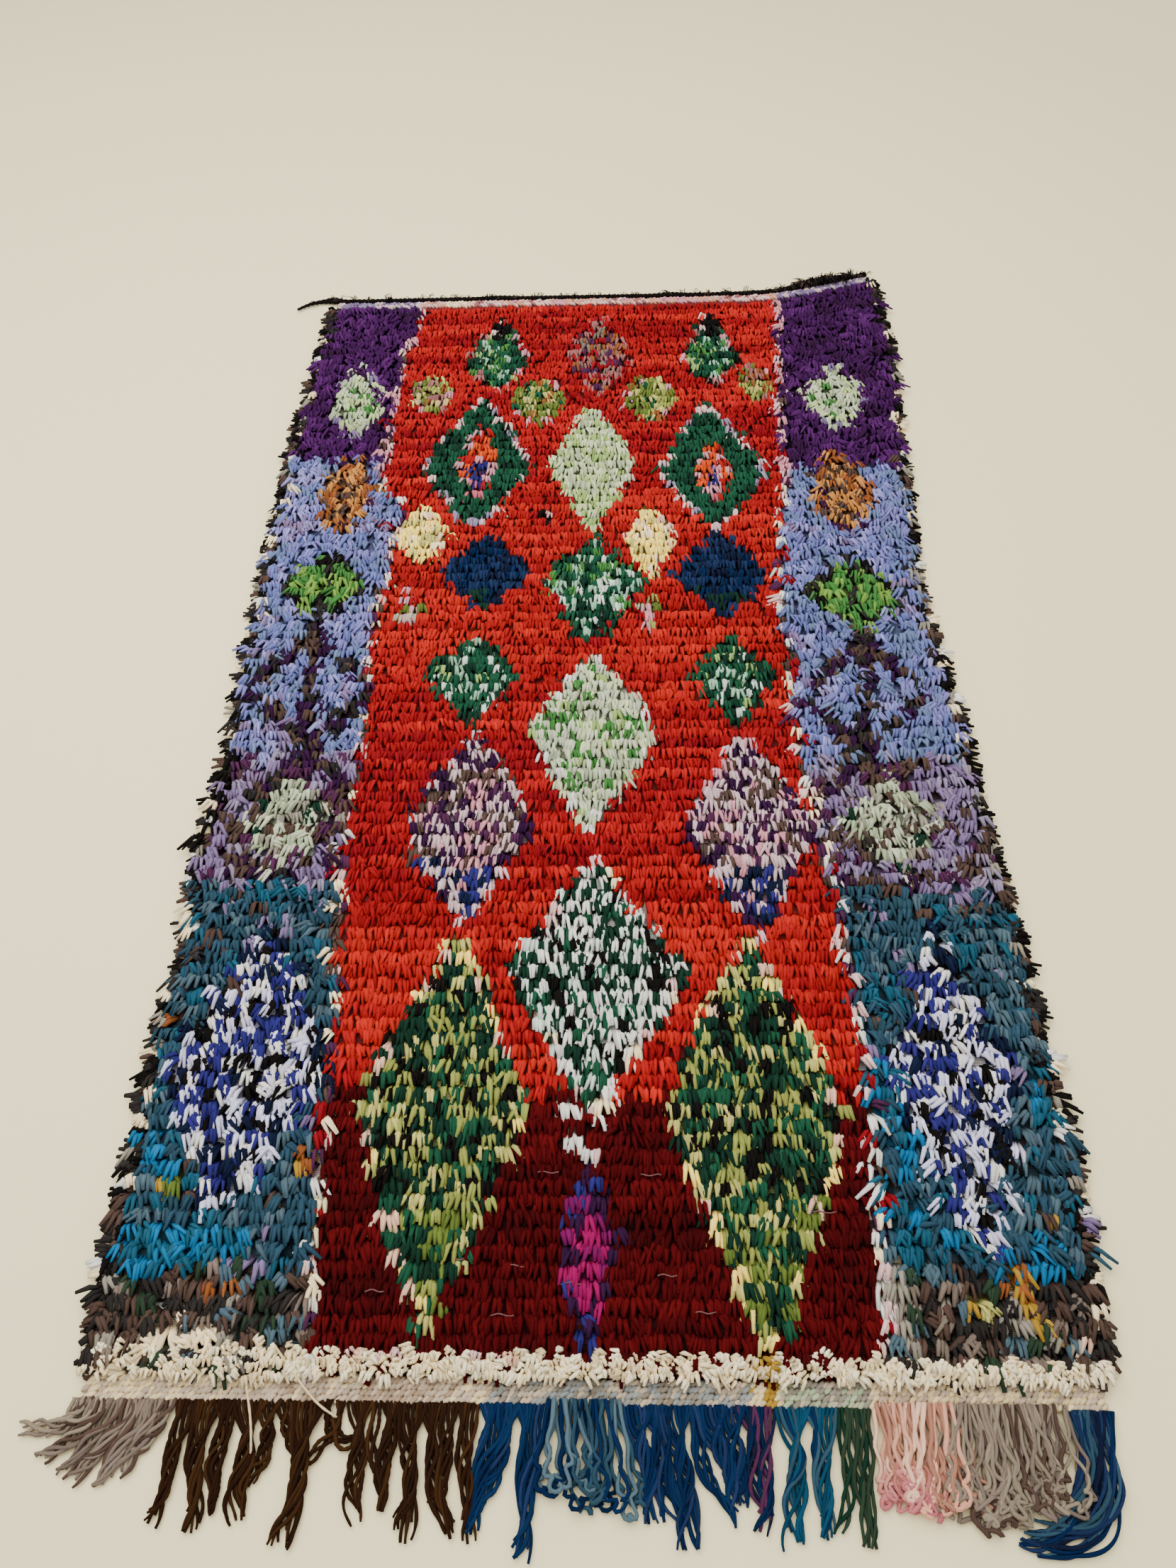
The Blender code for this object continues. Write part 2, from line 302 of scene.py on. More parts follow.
TRUNKS = (Trunk(-0.460, -0.10), Trunk(0.453, 0.12))
SELVEDGE_DARK = 0.0150
SELVEDGE_SHARE = 0.6

# A look gives a motif's dyes: its ground, its ticks and their share, the dots of its rim and their share, and
# the ground towards its near tip. The last two numbers are how round the motif is and how ragged its edge is
Look = namedtuple("Look", "ground ticks share rim rim_share tip round ragged", defaults=("", 1.1, 0.0))
LOOKS = {
    "light": Look("lime sage celadon", "leaf", 0.12, "sage mauve violet", 0.75, "", 1.25, 0.20),
    "orange": Look("orange orange rust", "umber", 0.16, "rust umber aubergine", 0.60, "", 1.70, 0.12),
    "green": Look("grass leaf grass leaf", "leaf", 0.10, "black charcoal", 0.95),
    "sage": Look("celadon sage ash celadon", "umber pine", 0.20, "charcoal umber plum", 0.85, "", 1.25, 0.20),
    "snow": Look("ink indigo black indigo", "snow white snow", 0.44, "snow ink", 0.45, "", 1.10, 0.22),
    "drop": Look("forest leaf pine forest", "mint spring", 0.20, "rose dusk_rose black", 0.55, "", 1.20),
    "cap": Look("black pine", "black", 0.00, "black blush", 0.50),
    "rose": Look(
        "dusk_rose crimson plum rust", "plum taupe dusk_rose", 0.34, "oxblood crimson", 0.50, "", 1.35, 0.10
    ),
    "flower": Look("straw olive dusk_rose", "moss rust", 0.42, "rose moss", 0.50, "", 1.50, 0.25),
    "yellow": Look("olive straw moss", "forest moss rust", 0.38, "rose moss", 0.50, "", 1.60, 0.12),
    "ring": Look("forest pine forest forest", "forest", 0.10, "dusk blush heather", 0.62, "", 1.15),
    "eye": Look("ember ember scarlet", "ember", 0.10, "rose scarlet", 0.40, "rose raspberry scarlet", 1.15),
    "core": Look("indigo ink black", "plum", 0.30, "rose indigo", 0.60, "", 1.30),
    "lime": Look(
        "pale_lime lime pale_lime", "spring sage", 0.42, "lime spring celadon", 0.70,
        "lime spring", 1.10, 0.06,
    ),
    "speck": Look("black forest", "blush", 0.30, "black crimson", 1.00),
    "cream": Look("butter butter butter cream", "straw", 0.20, "straw butter peach", 0.60, "", 1.25, 0.08),
    "navy": Look("navy ink navy", "marine", 0.30, "navy ink", 0.90, "pine ink pine"),
    "mint": Look("forest leaf pine forest", "mint ice mint", 0.35, "forest crimson", 0.60, "pine forest"),
    "seed": Look("moss sage olive", "rose", 0.30, "brick rose", 0.50, "", 1.20),
    "fern": Look("forest pine forest", "mint ice spring", 0.38, "pine forest", 0.85),
    "pale": Look("celadon pale_lime celadon", "leaf spring sage", 0.36, "white celadon", 0.55),
    "dusk": Look(
        "plum umber aubergine", "dusk rose dusk", 0.50, "dusk aubergine", 0.50, "indigo ink indigo", 1.15
    ),
    "frost": Look("pine forest black pine", "white ice white", 0.44, "blush white cream", 0.62, "", 1.00),
    "olive": Look(
        "pine black pine forest", "olive straw olive olive", 0.36, "straw butter peach", 0.55,
        "forest pine moss", 1.08,
    ),
    "plum": Look("magenta fuchsia aubergine fuchsia", "magenta", 0.36, "indigo aubergine", 0.70, "", 1.20),
    "dot": Look("white blush", "blush", 0.30, "white", 1.00, "", 2.00),
}
Motif = namedtuple("Motif", "look x y half_width far near")
MOTIFS = (
    Motif("light", -0.473, 0.736, 0.056, 0.122, 0.112),
    Motif("light", 0.487, 0.771, 0.066, 0.116, 0.108),
    Motif("orange", -0.464, 0.460, 0.049, 0.108, 0.100),
    Motif("orange", 0.470, 0.472, 0.055, 0.116, 0.102),
    Motif("green", -0.467, 0.216, 0.086, 0.092, 0.078),
    Motif("green", 0.463, 0.214, 0.092, 0.096, 0.092),
    Motif("sage", -0.452, -0.277, 0.072, 0.093, 0.093),
    Motif("sage", 0.465, -0.270, 0.080, 0.093, 0.093),
    Motif("snow", -0.448, -0.670, 0.104, 0.222, 0.200),
    Motif("snow", 0.490, -0.682, 0.086, 0.225, 0.230),
    Motif("drop", -0.201, 0.886, 0.066, 0.151, 0.106),
    Motif("drop", 0.245, 0.897, 0.060, 0.165, 0.096),
    Motif("cap", -0.201, 0.990, 0.024, 0.050, 0.045),
    Motif("cap", 0.245, 1.010, 0.024, 0.052, 0.050),
    Motif("rose", 0.011, 0.888, 0.066, 0.168, 0.116),
    Motif("flower", -0.330, 0.775, 0.041, 0.051, 0.068),
    Motif("flower", 0.333, 0.818, 0.034, 0.060, 0.064),
    Motif("yellow", -0.112, 0.752, 0.052, 0.080, 0.079),
    Motif("yellow", 0.115, 0.764, 0.052, 0.073, 0.075),
    Motif("ring", -0.221, 0.545, 0.108, 0.220, 0.176),
    Motif("ring", 0.229, 0.536, 0.104, 0.222, 0.162),
    Motif("eye", -0.220, 0.548, 0.038, 0.130, 0.096),
    Motif("core", -0.218, 0.535, 0.017, 0.050, 0.058),
    Motif("eye", 0.230, 0.528, 0.037, 0.112, 0.085),
    Motif("core", 0.234, 0.512, 0.017, 0.052, 0.048),
    Motif("lime", 0.000, 0.558, 0.086, 0.183, 0.193),
    Motif("speck", -0.086, 0.411, 0.024, 0.028, 0.031),
    Motif("cream", -0.308, 0.352, 0.048, 0.083, 0.079),
    Motif("cream", 0.107, 0.351, 0.047, 0.088, 0.096),
    Motif("navy", -0.186, 0.264, 0.082, 0.100, 0.103),
    Motif("navy", 0.231, 0.266, 0.088, 0.107, 0.114),
    Motif("mint", 0.003, 0.237, 0.094, 0.124, 0.158),
    Motif("seed", -0.317, 0.173, 0.024, 0.046, 0.050),
    Motif("seed", 0.102, 0.174, 0.023, 0.048, 0.051),
    Motif("fern", -0.194, 0.024, 0.081, 0.090, 0.113),
    Motif("fern", 0.240, 0.023, 0.074, 0.088, 0.112),
    Motif("pale", 0.006, -0.091, 0.105, 0.165, 0.205),
    Motif("dusk", -0.180, -0.274, 0.099, 0.172, 0.182),
    Motif("dusk", 0.246, -0.273, 0.102, 0.170, 0.190),
    Motif("frost", 0.014, -0.519, 0.130, 0.194, 0.223),
    Motif("olive", -0.184, -0.718, 0.114, 0.262, 0.284),
    Motif("olive", 0.225, -0.717, 0.118, 0.262, 0.312),
    Motif("plum", 0.007, -0.888, 0.038, 0.094, 0.126),
    Motif("dot", -0.028, -0.721, 0.010, 0.010, 0.010),
    Motif("dot", 0.039, -0.711, 0.010, 0.010, 0.010),
    Motif("dot", -0.010, -0.755, 0.010, 0.010, 0.010),
    Motif("dot", 0.021, -0.748, 0.010, 0.010, 0.010),
    Motif("dot", 0.013, -0.788, 0.010, 0.010, 0.010),
)
RIM_LINE = 0.0125
TIP_FROM = 0.42
TIP_TICKS = 0.78
SPINE_LINE = 0.0065
SPINE_REACH = 0.75

# Marks fall mostly on every other knot, as on a checkerboard. Those knots take a mark's share times the first
# number and the knots between them times the second
TICK_CHECKER = (1.92, 0.08)
DOT_CHECKER = (1.35, 0.65)
EDGE_CHECKER = (1.5, 0.5)
KNOT_SHADES = 0.16
KNOT_HUES = 0.05
NOISE_CORNER = (-0.95, -1.45)
NOISE_SPAN = (2, 3)


def drawn(names, pick):
    """The dyes that picks from 0 to 1 draw out of a row of names, which may give one more than once."""
    row = np.array([DYES[name] for name in names.split()])
    return row[np.clip((pick * len(row)).astype(int), 0, len(row) - 1)]


def drift(x, y, wide, long, rng):
    """Smooth noise from 0 to 1: random values on a lattice of the given pitch, eased from point to point."""
    lattice = rng.random((int(NOISE_SPAN[0] / wide) + 3, int(NOISE_SPAN[1] / long) + 3))
    u, v = (x - NOISE_CORNER[0]) / wide, (y - NOISE_CORNER[1]) / long
    i, j = u.astype(int), v.astype(int)
    a, b = u - i, v - j
    a, b = a * a * (3 - 2 * a), b * b * (3 - 2 * b)
    low = lattice[i, j] * (1 - a) + lattice[i + 1, j] * a
    high = lattice[i, j + 1] * (1 - a) + lattice[i + 1, j + 1] * a
    return np.clip(((low * (1 - b) + high * b) - 0.5) * 1.5 + 0.5, 0, 0.999)


def beyond_field(x, y):
    """How far a point lies past the field's nearer edge, negative inside the field."""
    left = smooth(y, FIELD_EDGES, "y", "left")
    right = smooth(y, FIELD_EDGES, "y", "right")
    return np.maximum(left - x, x - right)


def tied_colours(x, y, checker, rng):
    """The dye of each knot: the borders by zone and patch with their branching lines, the red field by rows,
    and over both the field's edges and the motifs. A motif's points have (side^p + along^p)^(1/p) under 1,
    where side and along are shares of its half width and of its reach."""
    count = len(x)
    colour = np.zeros((count, 3))
    for zone in BORDER_ZONES:
        patchy = drift(x, y, zone.patch, zone.patch * PATCH_SHAPE, rng)
        level = ZONE_MIX[0] * patchy + ZONE_MIX[1] * rng.random(count)
        shown = (y + ZONE_BLUR * (rng.random(count) - 0.5) > zone.from_y) & ~colour.any(axis=1)
        colour[shown] = drawn(zone.dyes, level)[shown]
    for patch in PATCHES:
        reach = ((x - patch.x) / patch.half_width) ** 2 + ((y - patch.y) / patch.half_length) ** 2
        near = reach + PATCH_BLUR * (rng.random(count) - 0.5) < 1
        colour[near] = drawn(patch.dyes, rng.random(count))[near]
    for trunk in TRUNKS:
        off = np.abs(x - trunk.x - trunk.slant * y)
        for limb in LIMBS:
            run, rise = limb.to_off - limb.from_off, limb.to_y - limb.from_y
            t = ((off - limb.from_off) * run + (y - limb.from_y) * rise) / (run**2 + rise**2)
            t = np.clip(t, 0, 1)
            gap = np.hypot(off - limb.from_off - t * run, y - limb.from_y - t * rise)
            line = (gap < LIMB_LINE) & (rng.random(count) < LIMB_SHARE)
            colour[line] = drawn("aubergine charcoal umber", rng.random(count))[line]
    rim = np.minimum(x - smooth(y, SELVEDGES, "y", "left"), smooth(y, SELVEDGES, "y", "right") - x)
    rim = (rim < SELVEDGE_DARK) & (rng.random(count) < SELVEDGE_SHARE)
    colour[rim] = drawn("black charcoal black umber ash cream", rng.random(count))[rim]

    past = beyond_field(x, y)
    field = past < 0
    streak = drift(x, y, STREAK_WIDE, STREAK_LONG, rng)
    level = RED_MIX[0] * streak + RED_MIX[1] * rng.random(count) + RED_FROM
    red = drawn("crimson brick scarlet vermilion", level + smooth(y, RED_DRIFT, "y", "redder"))
    dark = drawn("oxblood maroon wine", MAROON_MIX[0] * streak + MAROON_MIX[1] * rng.random(count))
    in_maroon = y + MAROON_BLUR * (rng.random(count) - 0.5) < MAROON_FROM
    shade = (STREAK_DARKEST + STREAK_SHADES * streak)[:, None]
    colour[field] = (np.where(in_maroon[:, None], dark, red) * shade)[field]
    edge = np.abs(past) < EDGE_LINE
    dotted = np.where(y > EDGE_FULL_FROM, 1.0, EDGE_THINNED)
    pale = drawn("blush rose rose", rng.random(count))
    pale[y < EDGE_FULL_FROM] = drawn("cream blush white", rng.random(count))[y < EDGE_FULL_FROM]
    deep = drawn("plum crimson umber", rng.random(count))
    often, seldom = (rng.random(count) < dotted * likelihood for likelihood in EDGE_CHECKER)
    light = np.where(checker, often, seldom)
    colour[edge] = np.where(light[:, None], pale, deep)[edge]

    for motif in MOTIFS:
        look = LOOKS[motif.look]
        up = y - motif.y
        along = np.abs(up) / np.where(up > 0, motif.far, motif.near)
        side = np.abs(x - motif.x) / motif.half_width
        reach = (side**look.round + along**look.round) ** (1 / look.round)
        reach = reach + look.ragged * (rng.random(count) - 0.6)
        inside = reach < 1
        ground = drawn(look.ground, rng.random(count))
        share = look.share * np.where(checker, *TICK_CHECKER)
        if look.tip:
            towards_tip = up < -TIP_FROM * motif.near * (0.85 + 0.3 * rng.random(count))
            ground[towards_tip] = drawn(look.tip, rng.random(count))[towards_tip]
            share[towards_tip] *= TIP_TICKS
        tick = rng.random(count) < share
        paint = np.where(tick[:, None], drawn(look.ticks, rng.random(count)), ground)
        rim = reach > 1 - RIM_LINE / motif.half_width
        dot = rng.random(count) < look.rim_share * np.where(checker, *DOT_CHECKER)
        paint[rim & dot] = drawn(look.rim, rng.random(count))[rim & dot]
        colour[inside] = paint[inside]
        if motif.look == "green":
            spine = inside & (side * motif.half_width < SPINE_LINE) & (along < SPINE_REACH)
            colour[spine] = drawn("black charcoal", rng.random(count))[spine]
    shades = 1 + KNOT_SHADES * (rng.random((count, 1)) - 0.5)
    return colour * shades * (1 + KNOT_HUES * (rng.random((count, 3)) - 0.5))


# The ground cloth
# A thin wool ground on which every knot is tied. From below it shows the backs of the knots between ribs of
# weft, one face in the knot's dye for each. It lies on the floor and takes the place of the knotted slab.
COLUMNS = 104
ROWS = 106
CLOTH_TOP = 0.0034
CLOTH_THICKNESS = 0.0030
CLOTH_WAVE = 0.0003
WAVES_ACROSS = 31
WAVES_ALONG = 23
WEFT_PITCH = 0.0070
KNOT_BACK = 0.0055


def add_node(tree, kind, inputs=(), **settings):
    """Adds a shader node, sets its properties, and fills its inputs with values or other nodes' outputs."""
    node = tree.nodes.new(kind)
    for name, value in settings.items():
        setattr(node, name, value)
    for name, value in dict(inputs).items():
        if isinstance(value, bpy.types.NodeSocket):
            tree.links.new(value, node.inputs[name])
        else:
            node.inputs[name].default_value = value
    return node


def grid(rows, columns):
    """The row and the column of each place in a grid, row by row."""
    row, column = np.meshgrid(np.arange(rows), np.arange(columns), indexing="ij")
    return row.ravel(), column.ravel()


rng = np.random.default_rng(11)
across, along = np.meshgrid(np.linspace(0, 1, COLUMNS + 1), np.linspace(0, 1, ROWS + 1))
x, y = on_rug(across.ravel(), along.ravel())
z = CLOTH_TOP + CLOTH_WAVE * np.sin(x * WAVES_ACROSS) * np.sin(y * WAVES_ALONG)
row, column = grid(ROWS, COLUMNS)
corner = row * (COLUMNS + 1) + column
cloth_faces = np.stack([corner, corner + 1, corner + COLUMNS + 2, corner + COLUMNS + 1], axis=1)
cloth_mesh = bpy.data.meshes.new("ground_cloth")
cloth_mesh.from_pydata(np.stack([x, y, z], axis=1).tolist(), [], cloth_faces.tolist())
backs = tied_colours(x[cloth_faces].mean(axis=1), y[cloth_faces].mean(axis=1), (row + column) % 2 == 0, rng)
dye = cloth_mesh.attributes.new("dye", "FLOAT_COLOR", "FACE")
dye.data.foreach_set("color", np.hstack([backs, np.ones((len(backs), 1))]).astype(np.float32).ravel())
cloth = bpy.data.objects.new("ground_cloth", cloth_mesh)
bpy.context.scene.collection.objects.link(cloth)
thickness = cloth.modifiers.new("thickness", "SOLIDIFY")
thickness.thickness = CLOTH_THICKNESS
thickness.offset = -1.0

weave, tree, shader = new_material("ribbed_ground_weave")
place = add_node(tree, "ShaderNodeTexCoord").outputs["Object"]
rows = add_node(tree, "ShaderNodeMapping", {"Vector": place, "Scale": (1 / KNOT_BACK, 1 / WEFT_PITCH, 1.0)})
wobble = add_node(tree, "ShaderNodeTexNoise", {"Vector": place, "Scale": 260.0, "Detail": 3.0})
banding = {"Vector": rows.outputs[0], "Scale": 1.0, "Distortion": 0.6, "Detail": 1.0}
ribs = add_node(tree, "ShaderNodeTexWave", banding, wave_type="BANDS", bands_direction="Y")
knots = add_node(tree, "ShaderNodeTexVoronoi", {"Vector": rows.outputs[0], "Scale": 1.0, "Randomness": 0.35})
dyed = add_node(tree, "ShaderNodeAttribute", attribute_name="dye")
# Painted shade: the knot dyes darken into the grooves between the weft ribs, where the bump's relief dips
shading = add_node(tree, "ShaderNodeMapRange", {"Value": ribs.outputs["Fac"], "To Min": 0.25, "To Max": 0.75})
groove_shaded = {"Color": dyed.outputs["Color"], "Value": shading.outputs["Result"], "Saturation": 0.92}
woven = add_node(tree, "ShaderNodeHueSaturation", groove_shaded)
tree.links.new(woven.outputs["Color"], shader.inputs["Base Color"])
heights = {0: ribs.outputs["Fac"], 1: knots.outputs["Distance"]}
relief = add_node(tree, "ShaderNodeMath", heights, operation="SUBTRACT")
grain = add_node(tree, "ShaderNodeMath", {0: relief.outputs[0], 1: wobble.outputs["Fac"]}, operation="ADD")
bump = add_node(tree, "ShaderNodeBump", {"Height": grain.outputs[0], "Distance": 0.0012, "Strength": 0.8})
tree.links.new(bump.outputs["Normal"], shader.inputs["Normal"])
shader.inputs["Roughness"].default_value = 0.95
shader.inputs["Specular IOR Level"].default_value = 0.2
cloth_mesh.materials.append(weave)

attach(cloth, "root")
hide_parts("rug")

# The pile
# Strips of rag and yarn tied round the warps, whose cut ends lie over towards the fringe like shingles. The
# borders' ends are longer and lie more loosely than the field's.
UPRIGHT = np.array([0.0, 0.0, 1.0])
ENDS = 3
END_FAN = 9.0
END_TURN = 0.6
END_SPACING = 0.0034
END_SCATTER = 0.0009
END_ROLL = 20.0
END_BEND = 0.0012
END_FLATNESS = 0.85
OUTER_DROP = 0.10
BAND_DEPTH = 0.034
TUFT_SIDES = 4
TUFT_FORWARD = np.array([0.00, 0.40, 1.00])
TUFT_RISE = np.array([0.00, 1.00, 0.84])
TUFT_BREADTH = np.array([0.80, 1.05, 0.66])
TUFT_DEPTH = np.array([0.90, 1.05, 0.60])
ROOT_LEVEL = 0.0028
FIELD_LIFT = 0.0100
BORDER_LIFT = 0.0132
FIELD_LENGTH = 0.0285
BORDER_LENGTH = 0.0295
FIELD_SWAY = 0.17
BORDER_SWAY = 0.42
KNOT_WIDTH = 0.0070
SCATTER_ACROSS = 0.0030
SCATTER_ALONG = 0.0060
LUMP_PITCH = 0.055
LUMP_HEIGHT = 0.35
FIELD_PARTS = (0.42, -0.33)

# A cell of the bake map holds a strand's wall in its upper part and the strand's two ends below it
CELL_RATIO = 1.25
WALL_LEFT, WALL_WIDTH = 0.04, 0.92
WALL_HEIGHTS = (0.22, 0.97)
DISC_WIDE, DISC_HIGH = 0.18, 0.08
FIRST_DISC = (0.25, 0.10)
LAST_DISC = (0.75, 0.10)


def strands(name, centres, side, up, half_width, half_height, dyes, sides, lobes=(0, 0.0, 1.0)):
    """Makes one mesh of many closed strands. Ring r of strand i is the ellipse centre + k (cos a half_width
    side + sin a half_height up), where k is 1, or 1 + depth cos(count (a - 2 pi distance / pitch)) for a
    strand of so many twisted plies. Side, up and the way along form a right-handed set."""
    count, rings = centres.shape[:2]
    step = np.linalg.norm(np.diff(centres, axis=1), axis=2)
    distance = np.concatenate([np.zeros((count, 1)), np.cumsum(step, axis=1)], axis=1)
    angle = np.arange(sides) * 2 * np.pi / sides
    plies, depth, pitch = lobes
    twist = 1 + depth * np.cos(plies * (angle[None, None, :] - 2 * np.pi * distance[:, :, None] / pitch))
    wide = (twist * np.cos(angle) * half_width[:, :, None])[..., None] * side[:, :, None, :]
    high = (twist * np.sin(angle) * half_height[:, :, None])[..., None] * up[:, :, None, :]
    points = centres[:, :, None, :] + wide + high

    index = np.arange(count * rings * sides).reshape(count, rings, sides)
    turned = np.roll(index, -1, axis=2)
    quads = np.stack([index[:, :-1], turned[:, :-1], turned[:, 1:], index[:, 1:]], axis=-1).reshape(-1, 4)
    caps = np.concatenate([index[:, 0, ::-1], index[:, -1]])
    loops = np.concatenate([quads.ravel(), caps.ravel()])
    starts = np.concatenate([np.arange(len(quads)) * 4, quads.size + np.arange(len(caps)) * sides])

    mesh = bpy.data.meshes.new(name)
    mesh.vertices.add(index.size)
    mesh.vertices.foreach_set("co", points.astype(np.float32).ravel())
    mesh.loops.add(len(loops))
    mesh.loops.foreach_set("vertex_index", loops.astype(np.int32))
    mesh.polygons.add(len(starts))
    mesh.polygons.foreach_set("loop_start", starts.astype(np.int32))
    mesh.update(calc_edges=True)
    mesh.shade_smooth()

    dyes = np.broadcast_to(dyes if dyes.ndim == 3 else dyes[:, None, :], (count, rings, 3))
    tint = np.concatenate([dyes, np.ones((count, rings, 1))], axis=2)
    tint = np.repeat(tint[:, :, None, :], sides, axis=2)
    dye = mesh.attributes.new("dye", "FLOAT_COLOR", "POINT")
    dye.data.foreach_set("color", tint.astype(np.float32).ravel())
    share = np.broadcast_to(np.linspace(0, 1, rings)[None, :, None], (count, rings, sides))
    shares = mesh.attributes.new("share", "FLOAT", "POINT")
    shares.data.foreach_set("value", share.astype(np.float32).ravel())

    # The yarn map is in metres round and along each strand, and starts somewhere else on each
    girth = np.pi * (half_width.mean(axis=1) + half_height.mean(axis=1))
    offset = np.random.default_rng(len(loops)).random((count, 1, 1)) * 7
    ring = np.arange(rings - 1)[None, :, None]
    turn = np.arange(sides)[None, None, :]
    strand = np.arange(count)[:, None, None]
    u0, u1 = turn / sides + 0 * ring + 0 * strand, (turn + 1) / sides + 0 * ring + 0 * strand
    v0, v1 = distance[:, :-1, None] + 0 * turn, distance[:, 1:, None] + 0 * turn
    round_ = np.stack([u0, u1, u1, u0], axis=-1) * girth[:, None, None, None]
    along_ = np.stack([v0, v0, v1, v1], axis=-1)
    body = np.stack([round_ + offset[..., None], along_ + offset[..., None]], axis=-1).reshape(-1, 2)
    flat = 0.5 * girth[:, None, None] * np.stack([np.cos(angle), np.sin(angle)], axis=-1)[None] / np.pi
    ends = np.concatenate([flat[:, ::-1], flat]) + np.concatenate([offset, offset])
    yarn_map = mesh.uv_layers.new(name="yarn")
    yarn_map.data.foreach_set("uv", np.concatenate([body, ends.reshape(-1, 2)]).astype(np.float32).ravel())

    # The bake map gives each strand a cell of its own: its wall above, its two ends below
    length = distance[:, -1].mean()
    columns = max(1, int(np.ceil(np.sqrt(count * length * CELL_RATIO / girth.mean()))))
    lines = int(np.ceil(count / columns))
    share_v = np.linspace(*WALL_HEIGHTS, rings)
    u0, u1 = WALL_LEFT + WALL_WIDTH * u0, WALL_LEFT + WALL_WIDTH * u1
    v0, v1 = share_v[:-1][None, :, None] + 0 * u0, share_v[1:][None, :, None] + 0 * u0
    cell = np.stack([strand % columns, strand // columns], axis=-1).reshape(count, 1, 1, 1, 2)
    body = np.stack([np.stack([u0, u1, u1, u0], axis=-1), np.stack([v0, v0, v1, v1], axis=-1)], axis=-1)
    disc = np.stack([DISC_WIDE * np.cos(angle), DISC_HIGH * np.sin(angle)], axis=-1)
    cell_ends = cell.reshape(count, 1, 2)
    ends = np.concatenate([cell_ends + disc[::-1] + FIRST_DISC, cell_ends + disc + LAST_DISC])
    cells = np.concatenate([(cell + body).reshape(-1, 2), ends.reshape(-1, 2)]) / [columns, lines]
    mesh.uv_layers.new(name="OFBake").data.foreach_set("uv", cells.astype(np.float32).ravel())

    piece = bpy.data.objects.new(name, mesh)
    bpy.context.scene.collection.objects.link(piece)
    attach(piece, "root")
    return piece


def varied(rng, count, mean, spread):
    """Values round a mean, whose spread is a share of it and never more than twice that share."""
    return mean * (1 + spread * rng.standard_normal(count).clip(-2, 2))


def tufts(name, x, y, heading, length, width, lift, rng, dyes):
    """Knots of three yarn ends each, which leave the ground steeply, bow over and fan out about the knot's
    heading. Each ring of an end stands a share of its length forward and of its lift up."""
    count = len(x) * ENDS
    order = np.tile(np.arange(ENDS) - (ENDS - 1) / 2, len(x))
    x, y, heading, length, width, lift, dyes = (
        np.repeat(value, ENDS, axis=0) for value in (x, y, heading, length, width, lift, dyes)
    )
    beside = order * END_SPACING + END_SCATTER * rng.standard_normal(count)
    x, y = x + beside * np.cos(heading), y + beside * np.sin(heading)
    heading = heading + np.radians(END_FAN) * (order + END_TURN * rng.standard_normal(count))
    length = length * varied(rng, count, 1, 0.14)
    lift = lift * (varied(rng, count, 1, 0.12) - OUTER_DROP * np.abs(order))
    roll = np.radians(END_ROLL) * rng.standard_normal(count)
    bend = END_BEND * rng.standard_normal(count)
    depth = width * END_FLATNESS
    dyes = dyes * varied(rng, count, 1, 0.10)[:, None]
    ahead = np.stack([np.sin(heading), -np.cos(heading), 0 * heading], axis=1)
    aside = np.stack([np.cos(heading), np.sin(heading), 0 * heading], axis=1)
    root = np.stack([x, y, np.full(len(x), ROOT_LEVEL)], axis=1)
    forward = (length[:, None] * TUFT_FORWARD)[..., None] * ahead[:, None, :]
    sideways = (bend[:, None] * TUFT_FORWARD**2)[..., None] * aside[:, None, :]
    risen = (lift[:, None] * TUFT_RISE)[..., None] * UPRIGHT
    centres = root[:, None, :] + forward + sideways + risen
    way = np.gradient(centres, axis=1)
    way /= np.linalg.norm(way, axis=2, keepdims=True)
    side = np.broadcast_to(aside[:, None, :], way.shape)
    up = np.cross(way, side)
    up /= np.linalg.norm(up, axis=2, keepdims=True)
    side = np.cross(up, way)
    turn = roll[:, None, None]
    side, up = np.cos(turn) * side + np.sin(turn) * up, np.cos(turn) * up - np.sin(turn) * side
    half_width = width[:, None] / 2 * TUFT_BREADTH
    half_height = depth[:, None] / 2 * TUFT_DEPTH
    return strands(name, centres, side, up, half_width, half_height, dyes, TUFT_SIDES)


